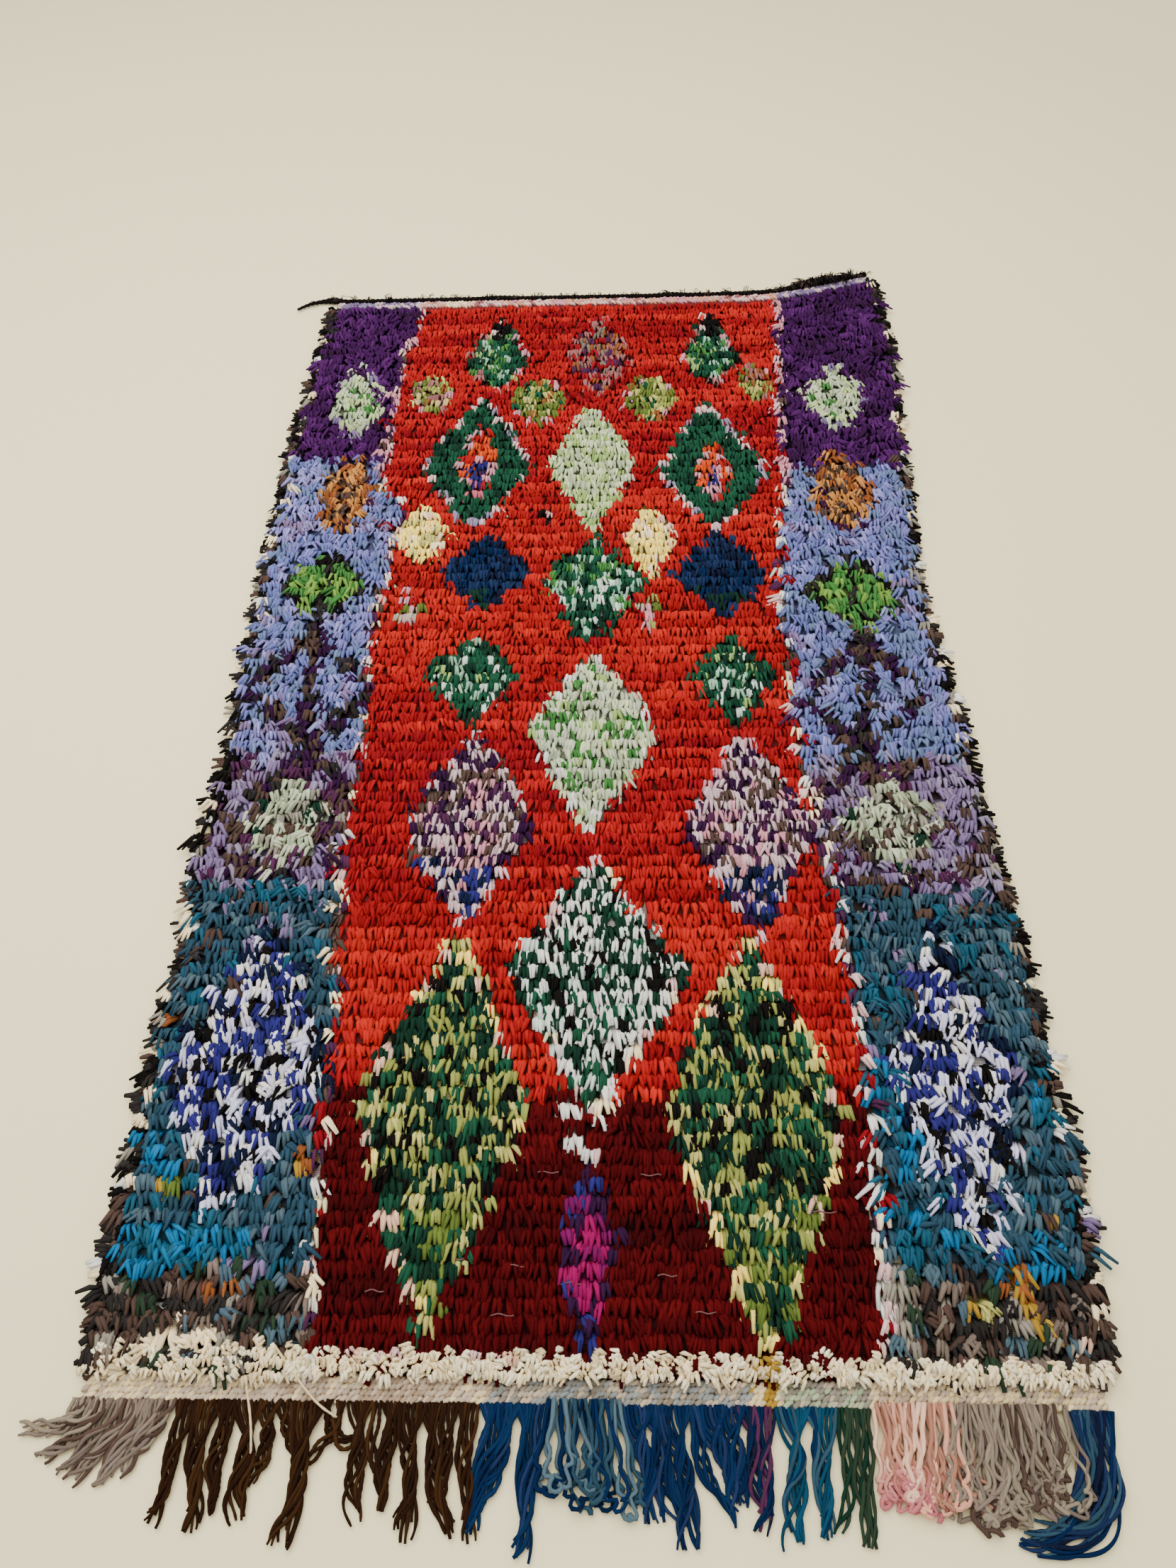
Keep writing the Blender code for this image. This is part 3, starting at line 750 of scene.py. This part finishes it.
def dyed_fibre(name, fibre, staple, contrast, painted_root_shade, bump_height):
    """Dyed fibre: the dye attribute, made lighter and darker by fine noise drawn out along the strand, and
    darkened towards the root by painted shade, with the same noise as relief. Fibre and staple are its sizes
    round and along, in m."""
    material, tree, shader = new_material(name)
    dyed = add_node(tree, "ShaderNodeAttribute", attribute_name="dye")
    yarn = add_node(tree, "ShaderNodeUVMap", uv_map="yarn")
    fine = {"Vector": yarn.outputs["UV"], "Scale": (1 / fibre, 1 / staple, 1.0)}
    noise = {"Vector": add_node(tree, "ShaderNodeMapping", fine).outputs[0]}
    noise.update({"Scale": 1.0, "Detail": 3.0, "Roughness": 0.6})
    fibres = add_node(tree, "ShaderNodeTexNoise", noise).outputs["Fac"]
    shades = {"Value": fibres, "From Min": 0.25, "From Max": 0.75}
    shades.update({"To Min": 1 - contrast, "To Max": 1 + contrast})
    tone = add_node(tree, "ShaderNodeMapRange", shades).outputs[0]
    # Painted shade: the colour darkens towards each strand's root, down to the given share at the root, for
    # the shade among the tufts
    share = add_node(tree, "ShaderNodeAttribute", attribute_name="share").outputs["Fac"]
    dimmed = {"Value": share, "From Min": 0.0, "From Max": 0.55, "To Min": painted_root_shade, "To Max": 1.0}
    root = add_node(tree, "ShaderNodeMapRange", dimmed).outputs[0]
    value = add_node(tree, "ShaderNodeMath", {0: tone, 1: root}, operation="MULTIPLY").outputs[0]
    mixed = {"Color": dyed.outputs["Color"], "Value": value, "Saturation": 1.0}
    hue = add_node(tree, "ShaderNodeHueSaturation", mixed)
    tree.links.new(hue.outputs["Color"], shader.inputs["Base Color"])
    raised = {"Height": fibres, "Distance": bump_height, "Strength": 0.7}
    bump = add_node(tree, "ShaderNodeBump", raised)
    tree.links.new(bump.outputs["Normal"], shader.inputs["Normal"])
    shader.inputs["Roughness"].default_value = 0.95
    shader.inputs["Specular IOR Level"].default_value = 0.05
    return material


# The rag takes painted shade at its roots, darkened to 0.86 there
rag = dyed_fibre("knotted_rag", 0.0009, 0.0050, 0.24, 0.86, 0.0012)
rng = np.random.default_rng(7)

# One knot for each face of the ground cloth, in the same rows and columns
count = len(row)
long_way = far_end_y(0.0) - NEAR_END
first, last = BAND_DEPTH / long_way, 1 - FAR_WEB / long_way
knot_x, knot_y = on_rug((column + 0.5) / COLUMNS, first + (last - first) * row / (ROWS - 1))
knot_x = knot_x + SCATTER_ACROSS * (rng.random(count) - 0.5)
knot_y = knot_y + SCATTER_ALONG * (rng.random(count) - 0.5)
knot_dyes = tied_colours(knot_x, knot_y, (row + column) % 2 == 0, rng)
in_border = beyond_field(knot_x, knot_y) > 0
lumps = 1 + LUMP_HEIGHT * (drift(knot_x, knot_y, LUMP_PITCH, LUMP_PITCH, rng) - 0.5)
knot_heading = np.where(in_border, BORDER_SWAY, FIELD_SWAY) * rng.standard_normal(count)
knot_length = np.where(in_border, BORDER_LENGTH, FIELD_LENGTH) * varied(rng, count, 1, 0.14)
knot_width = varied(rng, count, KNOT_WIDTH, 0.12)
knot_lift = np.where(in_border, BORDER_LIFT, FIELD_LIFT) * lumps * varied(rng, count, 1, 0.08)

far_part, near_part = knot_y > FIELD_PARTS[0], knot_y <= FIELD_PARTS[1]
PILES = (
    ("pile_left_border", in_border & (knot_x < 0)),
    ("pile_right_border", in_border & (knot_x > 0)),
    ("pile_field_far", ~in_border & far_part),
    ("pile_field_middle", ~in_border & ~far_part & ~near_part),
    ("pile_field_near", ~in_border & near_part),
)
for name, here in PILES:
    pile = tufts(
        name, knot_x[here], knot_y[here], knot_heading[here], knot_length[here], knot_width[here],
        knot_lift[here], rng, knot_dyes[here],
    )
    pile.data.materials.append(rag)

# The near band
# Four rows of thick cream wool, cut short and left standing, that end the pile. Some tufts take up pink from
# the maroon beside them, and some are ochre where a lozenge's tip runs into the band.
BAND_ROWS = 4
BAND_WIDTH = 1.17
BAND_PITCH = 0.0088
BAND_FROM = 0.0100
BAND_STEP = 0.0080
BAND_SLANT = 0.0120
BAND_LEFT = -0.6
BAND_SCATTER = 0.002
OCHRE_AT = 0.213
OCHRE_WIDE = 0.015
OCHRE_SHARE = 0.8
PINKISH = (-0.345, -0.060)
PINKISH_SHARE = 0.4
BAND_SWAY = 0.85
BAND_LIFT = 0.0160
BAND_LENGTH = 0.0120
BAND_TUFT = 0.0054

row, column = grid(BAND_ROWS, int(BAND_WIDTH / BAND_PITCH))
share_across = (column + 0.5 + 0.5 * (row % 2)) / (column.max() + 1.5)
x, y = on_rug(share_across, (BAND_FROM + BAND_STEP * row) / long_way)
y = y - BAND_SLANT * (x - BAND_LEFT) * row / BAND_ROWS + BAND_SCATTER * rng.standard_normal(len(x))
count = len(x)
dyes = drawn("cream ivory cream sand ivory cream", rng.random(count))
last_row = row == BAND_ROWS - 1
pinkish = (x > PINKISH[0]) & (x < PINKISH[1]) & last_row & (rng.random(count) < PINKISH_SHARE)
dyes[pinkish] = drawn("blush peach", rng.random(count))[pinkish]
ochre = (np.abs(x - OCHRE_AT) < OCHRE_WIDE) & (rng.random(count) < OCHRE_SHARE)
dyes[ochre] = drawn("sand ochre", rng.random(count))[ochre]
band = tufts(
    "cream_band", x, y, BAND_SWAY * rng.standard_normal(count), varied(rng, count, BAND_LENGTH, 0.28),
    varied(rng, count, BAND_TUFT, 0.12), varied(rng, count, BAND_LIFT, 0.11), rng, dyes,
)
# The cream wool takes painted shade at its roots, darkened to 0.85 there
band.data.materials.append(dyed_fibre("cream_wool", 0.0008, 0.0050, 0.16, 0.85, 0.0011))

# The selvedges
# Rag and wool tied round the outermost warps in two files, mostly black with a cream lock now and then. The
# locks stick out past the edge of the cloth.
SELVEDGE_LENGTH = 2.13
SELVEDGE_PITCH = 0.0120
SELVEDGE_FROM = 0.004
LOCK_INSETS = (0.0125, 0.0030)
LOCK_SCATTER = 0.002
LOCK_TURN = 1.15
LOCK_SWAY = 0.45
LOCK_LENGTH = 0.0170
LOCK_WIDTH = 0.0074
LOCK_LIFT = 0.0085
DARK_LOCKS = "black charcoal black umber charcoal"
MIXED_LOCKS = "cream white charcoal ash black cream"

pairs = int(SELVEDGE_LENGTH / SELVEDGE_PITCH)
for name, edge, outward in (("left_selvedge", 0.0, -1.0), ("right_selvedge", 1.0, 1.0)):
    lock, deep = np.repeat(np.arange(pairs), 2), np.tile(np.arange(2), pairs)
    count = len(lock)
    share_along = (lock + 0.3 + 0.5 * deep) / pairs * last + SELVEDGE_FROM
    inset = np.array(LOCK_INSETS)[deep] + LOCK_SCATTER * rng.standard_normal(count)
    x, y = on_rug(np.full(count, edge), share_along)
    light = (lock // 2 + (rng.random(count) < 0.25)) % 4 == 0
    dyes = drawn(DARK_LOCKS, rng.random(count))
    dyes[light] = drawn(MIXED_LOCKS, rng.random(count))[light]
    turn = outward * (LOCK_TURN + LOCK_SWAY * rng.standard_normal(count).clip(-1.6, 1.6))
    locks = tufts(
        name, x - outward * inset, y, turn, varied(rng, count, LOCK_LENGTH, 0.24),
        varied(rng, count, LOCK_WIDTH, 0.15), varied(rng, count, LOCK_LIFT, 0.25), rng, dyes,
    )
    locks.data.materials.append(rag)

# The far braid
# A flat pale braid of two courses of wool, slanted against each other, that covers the bare web of the far
# end. It is tinged with pink beside the field and with lilac beside the borders.
STITCH_RUN = np.array([-0.5, -0.22, 0.22, 0.5])
STITCH_RISE = np.array([0.0026, 0.0056, 0.0056, 0.0026])
STITCH_THICKNESS = np.array([0.6, 1.0, 1.0, 0.6])
STITCH_FLATNESS = 0.8
STITCH_SWAY = 7.0
BRAID_LEFT = -0.562
BRAID_RIGHT = 0.612
BRAID_PITCH = 0.0074
BRAID_INSETS = (0.0050, 0.0140)
BRAID_SCATTER = (0.0009, 0.0008)
BRAID_PATCH = 0.03
TONE_MIX = (0.6, 0.4)
BRAID_SLANT = 40.0
BRAID_LENGTH = 0.0160
BRAID_RADIUS = 0.0036
PEACH_FROM = -0.325
PEACH_TO = -0.262


def level_sides(centres):
    """A strand's two directions at each ring: one level and square to its way along, one square to both."""
    way = np.gradient(centres, axis=1)
    way /= np.linalg.norm(way, axis=2, keepdims=True)
    side = np.cross(np.broadcast_to(UPRIGHT, way.shape), way)
    side /= np.linalg.norm(side, axis=2, keepdims=True)
    return side, np.cross(way, side)


def stitches(name, x, y, slant, length, radius, dyes):
    """Short strands that lie level at the given slants in degrees and bow over the threads under them."""
    count = len(x)
    turned = np.radians(slant)[:, None]
    run = length[:, None] * STITCH_RUN
    rise = STITCH_RISE * varied(rng, count, 1, 0.12)[:, None]
    centres = np.stack([x[:, None] + run * np.cos(turned), y[:, None] + run * np.sin(turned), rise], axis=2)
    thick = radius * np.broadcast_to(STITCH_THICKNESS, centres.shape[:2])
    return strands(name, centres, *level_sides(centres), thick, thick * STITCH_FLATNESS, dyes, 6)


course, stitch = grid(len(BRAID_INSETS), int((BRAID_RIGHT - BRAID_LEFT) / BRAID_PITCH))
count = len(course)
x = BRAID_LEFT + BRAID_PITCH * (stitch + 0.5) + BRAID_SCATTER[0] * rng.standard_normal(count)
y = far_end_y(x) - np.array(BRAID_INSETS)[course] + BRAID_SCATTER[1] * rng.standard_normal(count)
pick = TONE_MIX[0] * drift(x, y, BRAID_PATCH, BRAID_PATCH, rng) + TONE_MIX[1] * rng.random(count)
tones = drawn("heather dusk mauve heather", pick)
beside_field = beyond_field(x, y) < 0
tones[beside_field] = drawn("rose salmon blush dusk_rose", pick)[beside_field]
peach = (x > PEACH_FROM) & (x < PEACH_TO)
tones[peach] = drawn("peach cream peach", pick)[peach]
braid = stitches(
    "far_braid", x, y, BRAID_SLANT * (1 - 2 * course) + STITCH_SWAY * rng.standard_normal(count),
    varied(rng, count, BRAID_LENGTH, 0.10), BRAID_RADIUS, tones * varied(rng, count, 1, 0.08)[:, None],
)
braid.data.materials.append(dyed_fibre("pale_wool_braid", 0.0009, 0.0060, 0.24, 1.0, 0.0010))

# The far cord
# A black three-ply cord sewn along the far end. It is bunched near the right corner, frays all along, and its
# end trails loose on the floor past the left corner.
CORD_FROM = 0.614
CORD_RADIUS = 0.0056
CORD_GAP = 0.0008
CORD_CLEARANCE = 0.0006
CORD_STEP = 0.0035
CORD_ROUNDNESS = 0.9
Swell = namedtuple("Swell", "x wide more")
SWELLS = (
    Swell(-0.572, 0.010, 0.0034),
    Swell(-0.210, 0.030, 0.0010),
    Swell(0.170, 0.020, 0.0012),
    Swell(0.500, 0.055, 0.0044),
)
CORD_PLIES = (3, 0.16, 0.030)
TAIL = (Corner(-0.592, 1.088), Corner(-0.614, 1.083), Corner(-0.634, 1.071), Corner(-0.652, 1.053))
TAIL_THINNING = 0.12
TAIL_RINGS = 12
FRAYS = 190
BUNCHED_SHARE = 0.35
BUNCHED_RINGS = (12, 56)
FRAY_LIFT = 0.0070
FRAY_LENGTHS = (0.0160, 0.0110)
FRAY_WIDTHS = (0.0026, 0.0019)


def evenly(points, step):
    """Points at even steps along a line through the given ones, each the mean of nine in a row."""
    distance = np.concatenate([[0], np.cumsum(np.linalg.norm(np.diff(points, axis=0), axis=1))])
    at = np.linspace(0, distance[-1], int(distance[-1] / step))
    even = np.stack([np.interp(at, distance, values) for values in points.T], axis=1)
    padded = np.concatenate([even[:1]] * 4 + [even] + [even[-1:]] * 4)
    return np.stack([np.convolve(values, np.full(9, 1 / 9), "valid") for values in padded.T], axis=1)


x = np.linspace(CORD_FROM, FAR_END[0].x, 160)
radius = CORD_RADIUS + sum(swell.more * np.exp(-(((x - swell.x) / swell.wide) ** 2)) for swell in SWELLS)
edge_line = np.stack([x, far_end_y(x) + radius + CORD_GAP, radius + CORD_CLEARANCE, radius], axis=1)
thinned = CORD_RADIUS * (1 - TAIL_THINNING * np.arange(1, len(TAIL) + 1))
tail = np.array([(at.x, at.y, CORD_RADIUS, thin) for at, thin in zip(TAIL, thinned)])
line = evenly(np.concatenate([edge_line, tail]), CORD_STEP)
centres, radius = line[None, :, :3], line[None, :, 3]
way = np.gradient(centres, axis=1)
way /= np.linalg.norm(way, axis=2, keepdims=True)
upright = np.broadcast_to(UPRIGHT, way.shape)
side = np.cross(upright, way)
dark = np.broadcast_to(DYES["black"], centres.shape)
radius = radius * CORD_ROUNDNESS
cord = strands("far_cord", centres, side, upright, radius, radius, dark, 12, CORD_PLIES)
cotton = dyed_fibre("black_cotton", 0.0009, 0.0060, 0.35, 1.0, 0.0009)
cord.data.materials.append(cotton)
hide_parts("end_cord")

at = rng.integers(0, len(line) - TAIL_RINGS, FRAYS)
bunched = rng.random(FRAYS) < BUNCHED_SHARE
at[bunched] = rng.integers(*BUNCHED_RINGS, bunched.sum())
frays = tufts(
    "far_cord_frays", line[at, 0], line[at, 1], rng.random(FRAYS) * 2 * np.pi,
    np.where(bunched, *FRAY_LENGTHS) * (0.5 + rng.random(FRAYS)), np.where(bunched, *FRAY_WIDTHS),
    FRAY_LIFT * (0.5 + rng.random(FRAYS)) + line[at, 3] * 0.8,
    rng, drawn("black charcoal umber black", rng.random(FRAYS)),
)
frays.data.materials.append(cotton)

# The near web
# Four courses of wool twined through the warps below the cream band, which lock the knots in and hold the
# fringe. Each stitch slants over two warps, and their tone changes with the yarns tied behind them.
WEB_COURSES = (-1.0540, -1.0605, -1.0670, -1.0735)
WEB_LEFT = -0.566
WEB_RIGHT = 0.596
WEB_SCATTER = (0.0007, 0.0006)
WEB_PATCH = (0.018, 0.05)
STITCH_PITCH = 0.0062
STITCH_LENGTH = 0.0125
STITCH_SLANT = 38.0
STITCH_RADIUS = 0.0031
Tone = namedtuple("Tone", "until dyes")
WEB_TONES = (
    Tone(-0.345, "sand fawn sand fawn"),
    Tone(-0.100, "fawn tan fawn sand"),
    Tone(0.195, "ash fawn pewter ash stone"),
    Tone(0.230, "ochre sand"),
    Tone(0.330, "ash fawn sage ash"),
    Tone(0.700, "sand fawn sand fawn"),
)

course, stitch = grid(len(WEB_COURSES), int((WEB_RIGHT - WEB_LEFT) / STITCH_PITCH))
count = len(course)
x = WEB_LEFT + STITCH_PITCH * (stitch + 0.5 + 0.5 * (course % 2))
x = x + WEB_SCATTER[0] * rng.standard_normal(count)
y = np.array(WEB_COURSES)[course] + WEB_SCATTER[1] * rng.standard_normal(count)
picks = TONE_MIX[0] * drift(x, y, *WEB_PATCH, rng) + TONE_MIX[1] * rng.random(count)
tones = np.zeros((count, 3))
for part in reversed(WEB_TONES):
    here = x < part.until
    tones[here] = drawn(part.dyes, picks)[here]
web = stitches(
    "twined_web", x, y, STITCH_SLANT + STITCH_SWAY * rng.standard_normal(count),
    varied(rng, count, STITCH_LENGTH, 0.10), STITCH_RADIUS, tones * varied(rng, count, 1, 0.08)[:, None],
)
wool = dyed_fibre("fringe_wool", 0.0008, 0.0060, 0.26, 1.0, 0.0008)
web.data.materials.append(wool)

# The cut fringe
# Two-ply wool hitched through the web and cut, which lies on the floor in clumps with their own bends. A
# clump leans by so many degrees from straight out, and its curl turns it on towards the tip.
YARN_RADIUS = 0.0024
YARN_STEP = 0.0050
YARN_PLIES = (2, 0.16, 0.0130)
YARN_ROOT = -1.0715
YARN_FROM = 0.0058
YARN_LEVEL = YARN_RADIUS * 1.3 + 0.0004
REACH_SPREAD = 0.06
WANDER = 0.30
WANDERS = 1.3
CLUMP_TURNS = 1.1
CLUMP_CORE, CLUMP_GROWTH = 0.55, 1.05
GATHERED_BY = 2.4
PARTED = 0.45
WOBBLE = 0.0016
WOBBLES = 2.5
HEAPED = 0.52
TIP_THINNING = 0.40
Clump = namedtuple("Clump", "x reach lean curl yarns")
Cut = namedtuple("Cut", "node slot dyes clumps")
CUT_FRINGES = (
    Cut("fringe_taupe", "taupe_yarn", "taupe stone taupe umber", (
        Clump(-0.566, 0.082, -74, -6, 4), Clump(-0.556, 0.060, -50, -26, 5), Clump(-0.543, 0.088, -52, 4, 6),
        Clump(-0.528, 0.092, -42, 8, 6), Clump(-0.512, 0.096, -34, -8, 6), Clump(-0.496, 0.096, -24, -12, 6),
        Clump(-0.480, 0.086, -26, 8, 5), Clump(-0.465, 0.072, -32, -6, 4),
    )),
    Cut("fringe_brown", "brown_yarn", "bark cocoa bark cocoa bark", (
        Clump(-0.446, 0.122, -4, -14, 6), Clump(-0.424, 0.128, 0, 10, 8), Clump(-0.400, 0.112, 4, -10, 7),
        Clump(-0.372, 0.118, 1, 5, 9), Clump(-0.350, 0.088, 8, -40, 6), Clump(-0.334, 0.072, 12, 60, 4),
        Clump(-0.308, 0.140, -2, -5, 9), Clump(-0.286, 0.070, 10, 110, 3), Clump(-0.270, 0.085, -6, -95, 3),
        Clump(-0.248, 0.118, 4, 4, 7), Clump(-0.230, 0.104, -2, 34, 3), Clump(-0.213, 0.106, 4, -16, 5),
        Clump(-0.190, 0.134, 5, -5, 8), Clump(-0.166, 0.134, 12, 8, 7), Clump(-0.147, 0.106, 0, -14, 5),
        Clump(-0.126, 0.134, 1, 6, 6),
    )),
    Cut("fringe_ink", "ink_blue_yarn", "royal marine navy royal", (
        Clump(-0.096, 0.128, -11, -8, 8), Clump(-0.080, 0.116, -14, -18, 6), Clump(-0.052, 0.148, -4, -5, 10),
    )),
    Cut("fringe_navy", "navy_yarn", "marine royal marine navy", (
        Clump(0.064, 0.116, 17, -6, 9), Clump(0.086, 0.124, 14, 8, 9), Clump(0.108, 0.138, 11, -5, 9),
        Clump(0.130, 0.128, 15, 20, 5), Clump(0.148, 0.104, 20, 6, 9), Clump(0.170, 0.098, 12, -12, 8),
    )),
    Cut("fringe_plum", "plum_yarn", "ink plum marine ink", (
        Clump(0.191, 0.112, 6, 10, 6), Clump(0.209, 0.124, -4, -6, 6),
    )),
    Cut("fringe_teal", "teal_yarn", "lagoon petrol lagoon royal", (
        Clump(0.241, 0.134, -5, 4, 9), Clump(0.272, 0.126, -2, -6, 9),
    )),
    Cut("fringe_green", "green_yarn", "loden pine loden", (
        Clump(0.297, 0.126, -1, -16, 3), Clump(0.308, 0.132, -4, 12, 3), Clump(0.320, 0.134, 2, -12, 4),
    )),
    Cut("fringe_midnight", "midnight_yarn", "ink navy petrol marine", (
        Clump(0.562, 0.178, 2, -114, 6), Clump(0.576, 0.190, 4, -118, 8), Clump(0.590, 0.202, 6, -121, 6),
    )),
)


def yarns(name, centres, radius, dyes):
    """Two-ply yarns of fringe wool through the given ring centres."""
    piece = strands(name, centres, *level_sides(centres), radius, radius, dyes, 6, YARN_PLIES)
    piece.data.materials.append(wool)
    return piece


for cut in CUT_FRINGES:
    per_clump = [clump.yarns for clump in cut.clumps]
    count = sum(per_clump)
    root, reach, lean, curl, many = (
        np.repeat(np.array([getattr(clump, key) for clump in cut.clumps], float), per_clump)[:, None]
        for key in ("x", "reach", "lean", "curl", "yarns")
    )
    place = np.concatenate([np.arange(n) - (n - 1) / 2 for n in per_clump])[:, None]
    seeded = np.repeat(rng.random(len(per_clump)), per_clump)[:, None]
    reach = reach * (1 + REACH_SPREAD * rng.standard_normal((count, 1)).clip(-1.8, 0.8))
    a = np.linspace(0, 1, int(max(clump.reach for clump in cut.clumps) / YARN_STEP))[None, :]
    heading = np.radians(lean) * np.minimum(1, 2 * a) + np.radians(curl) * a**2
    heading = heading + WANDER * np.sin(2 * np.pi * (WANDERS * a + seeded)) * a
    x = np.cumsum(np.sin(heading), axis=1) * reach / a.size
    y = -np.cumsum(np.cos(heading), axis=1) * reach / a.size
    # The yarns of a clump leave the web side by side, twist round each other and part again at their tips
    gather = np.minimum(1, GATHERED_BY * a) * (1 - PARTED * a**3)
    ring = 2 * np.pi * (place / many + CLUMP_TURNS * a + seeded)
    bundle = YARN_RADIUS * (CLUMP_CORE + CLUMP_GROWTH * np.sqrt(many))
    off = place * 2 * YARN_RADIUS * (1 - gather) + bundle * np.cos(ring) * gather
    off = off + WOBBLE * np.sin(2 * np.pi * (WOBBLES * a + rng.random((count, 1)))) * a
    x = x + root + off * np.cos(heading)
    y = y + YARN_ROOT + off * np.sin(heading)
    heap = HEAPED * bundle * (1 + np.sin(ring)) * gather
    z = YARN_LEVEL + (YARN_FROM - YARN_LEVEL) * (1 - a) ** 3 + heap * (1 - 0.6 * a)
    radius = YARN_RADIUS * varied(rng, count, 1, 0.10)[:, None] * (1 - TIP_THINNING * a**8)
    dyes = drawn(cut.dyes, rng.random(count)) * varied(rng, count, 1, 0.12)[:, None]
    cut_yarns = yarns(cut.node.replace("fringe", "yarns"), np.stack([x, y, z], axis=2), radius, dyes)
    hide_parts(cut.node)

# The looped fringe
# The same wool left uncut where it turns back at the end, in long loops that lie over each other. The loops
# are crimped, as unravelled wool is, and the left rose ones turn a deeper pink towards their bends.
LOOP_STEP = 0.0048
LOOP_LEVEL = YARN_RADIUS * 1.3 + 0.0006
LOOP_LAYER = 0.0022
LOOP_SWAY = 10.0
LOOP_FLATNESS = 0.75
CRIMPS_ACROSS = 6.5
CRIMPS_ALONG = 5.5
UNDULATION = 0.0012
DEEP_PINK_UNTIL = 0.62
Loops = namedtuple("Loops", "node slot dyes left right count reach_left reach_right lean bow crimp")
LOOPED_FRINGES = (
    Loops(
        "fringe_steel", "steel_blue_yarn", "petrol steel petrol marine",
        -0.034, 0.044, 17, 0.094, 0.108, 8, 0.022, 0.0040,
    ),
    Loops(
        "fringe_rose", "rose_yarn", "clay salmon clay peach",
        0.336, 0.416, 28, 0.104, 0.112, 0, 0.019, 0.0042,
    ),
    Loops(
        "fringe_stone", "stone_yarn", "stone taupe stone umber taupe",
        0.422, 0.542, 42, 0.116, 0.096, -2, 0.030, 0.0048,
    ),
)

for loops in LOOPED_FRINGES:
    count = loops.count
    share = (np.arange(count)[:, None] + 0.5) / count
    root = loops.left + (loops.right - loops.left) * share
    reach = loops.reach_left + (loops.reach_right - loops.reach_left) * share
    reach = reach * varied(rng, count, 0.94, 0.09)[:, None]
    lean = np.radians(loops.lean * share + LOOP_SWAY * rng.standard_normal((count, 1)).clip(-1.5, 1.5))
    bow = loops.bow * varied(rng, count, 1, 0.35)[:, None]
    a = np.linspace(0, 1, int(2.2 * loops.reach_left / LOOP_STEP))[None, :]
    phase = rng.random((count, 2)) * 2 * np.pi
    # The path runs out along the lean by a flattened sine and back, its two legs bowed apart
    out = reach * np.sin(np.pi * a) ** LOOP_FLATNESS
    aside = -0.5 * bow * np.cos(np.pi * a) * (0.5 + 1.3 * np.sin(np.pi * a))
    ripple = loops.crimp * np.minimum(1, 5 * a * (1 - a))
    x = root + out * np.sin(lean) + aside + ripple * np.sin(2 * np.pi * CRIMPS_ACROSS * a + phase[:, :1])
    y = YARN_ROOT - out * np.cos(lean) + ripple * np.sin(2 * np.pi * CRIMPS_ALONG * a + phase[:, 1:])
    layer = (np.arange(count)[:, None] * 2 % 5) * LOOP_LAYER
    z = LOOP_LEVEL + (layer + UNDULATION * (1 + np.sin(2 * np.pi * 3 * a + phase[:, :1])))
    radius = YARN_RADIUS * varied(rng, count, 1.0, 0.10)[:, None] + 0 * a
    dyes = drawn(loops.dyes, rng.random(count)) * varied(rng, count, 1, 0.12)[:, None]
    if loops.node == "fringe_rose":
        dyes = np.repeat(dyes[:, None, :], a.size, axis=1)
        deep = np.clip(1.6 * np.sin(np.pi * a) - 0.75, 0, 1) * (share < DEEP_PINK_UNTIL)
        dyes = dyes * (1 - deep[..., None]) + DYES["raspberry"] * deep[..., None]
    loop_yarns = yarns(loops.node.replace("fringe", "yarns"), np.stack([x, y, z], axis=2), radius, dyes)
    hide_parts(loops.node)

# The loose ends
# Two pale yarns have worked out of the cream band near the left border and lie over the web, and short pale
# ends of weft show on the maroon.
PALE_YARNS = (
    (
        Corner(-0.354, -1.019), Corner(-0.330, -1.046), Corner(-0.303, -1.074),
        Corner(-0.282, -1.090), Corner(-0.268, -1.094),
    ),
    (Corner(-0.378, -1.060), Corner(-0.370, -1.085), Corner(-0.363, -1.115), Corner(-0.363, -1.138)),
)
WEFT_ENDS = (
    Corner(-0.043, -0.818), Corner(0.086, -0.820), Corner(-0.077, -0.930), Corner(-0.144, -0.923),
    Corner(0.103, -0.939), Corner(-0.011, -0.949), Corner(-0.245, -0.960), Corner(0.147, -0.980),
    Corner(0.299, -0.863), Corner(-0.092, -0.985),
)
LOOSE_RINGS = 18
PALE_LEVEL = 0.0215
PALE_FALL = 0.0130
PALE_RADIUS = 0.0014
WEFT_LEVEL = 0.0152
WEFT_LENGTH = 0.026
WEFT_RADIUS = 0.0008
WEFT_WAVE = 0.0012
WEFT_SAG = 0.008
WEFT_PALENESS = 0.15

paths, radii, tones = [], [], []
for line in PALE_YARNS:
    along = evenly(np.array([(p.x, p.y) for p in line]), 0.004)
    along = along[np.linspace(0, len(along) - 1, LOOSE_RINGS).astype(int)]
    fall = np.linspace(0, 1, LOOSE_RINGS)
    paths.append(np.column_stack([along, PALE_LEVEL - PALE_FALL * fall**1.5]))
    radii.append(np.full(LOOSE_RINGS, PALE_RADIUS))
    tones.append(DYES["sand"])
for end in WEFT_ENDS:
    t = np.linspace(-0.5, 0.5, LOOSE_RINGS)
    length = WEFT_LENGTH * (0.6 + 0.8 * rng.random())
    wave = WEFT_WAVE * np.sin(7 * t + 6 * rng.random())
    paths.append(np.stack([end.x + t * length, end.y + wave, WEFT_LEVEL - WEFT_SAG * t * t], axis=1))
    radii.append(np.full(LOOSE_RINGS, WEFT_RADIUS))
    tones.append(WEFT_PALENESS * DYES["blush"] + (1 - WEFT_PALENESS) * DYES["wine"])
loose = yarns("loose_ends", np.stack(paths), np.stack(radii), np.stack(tones))
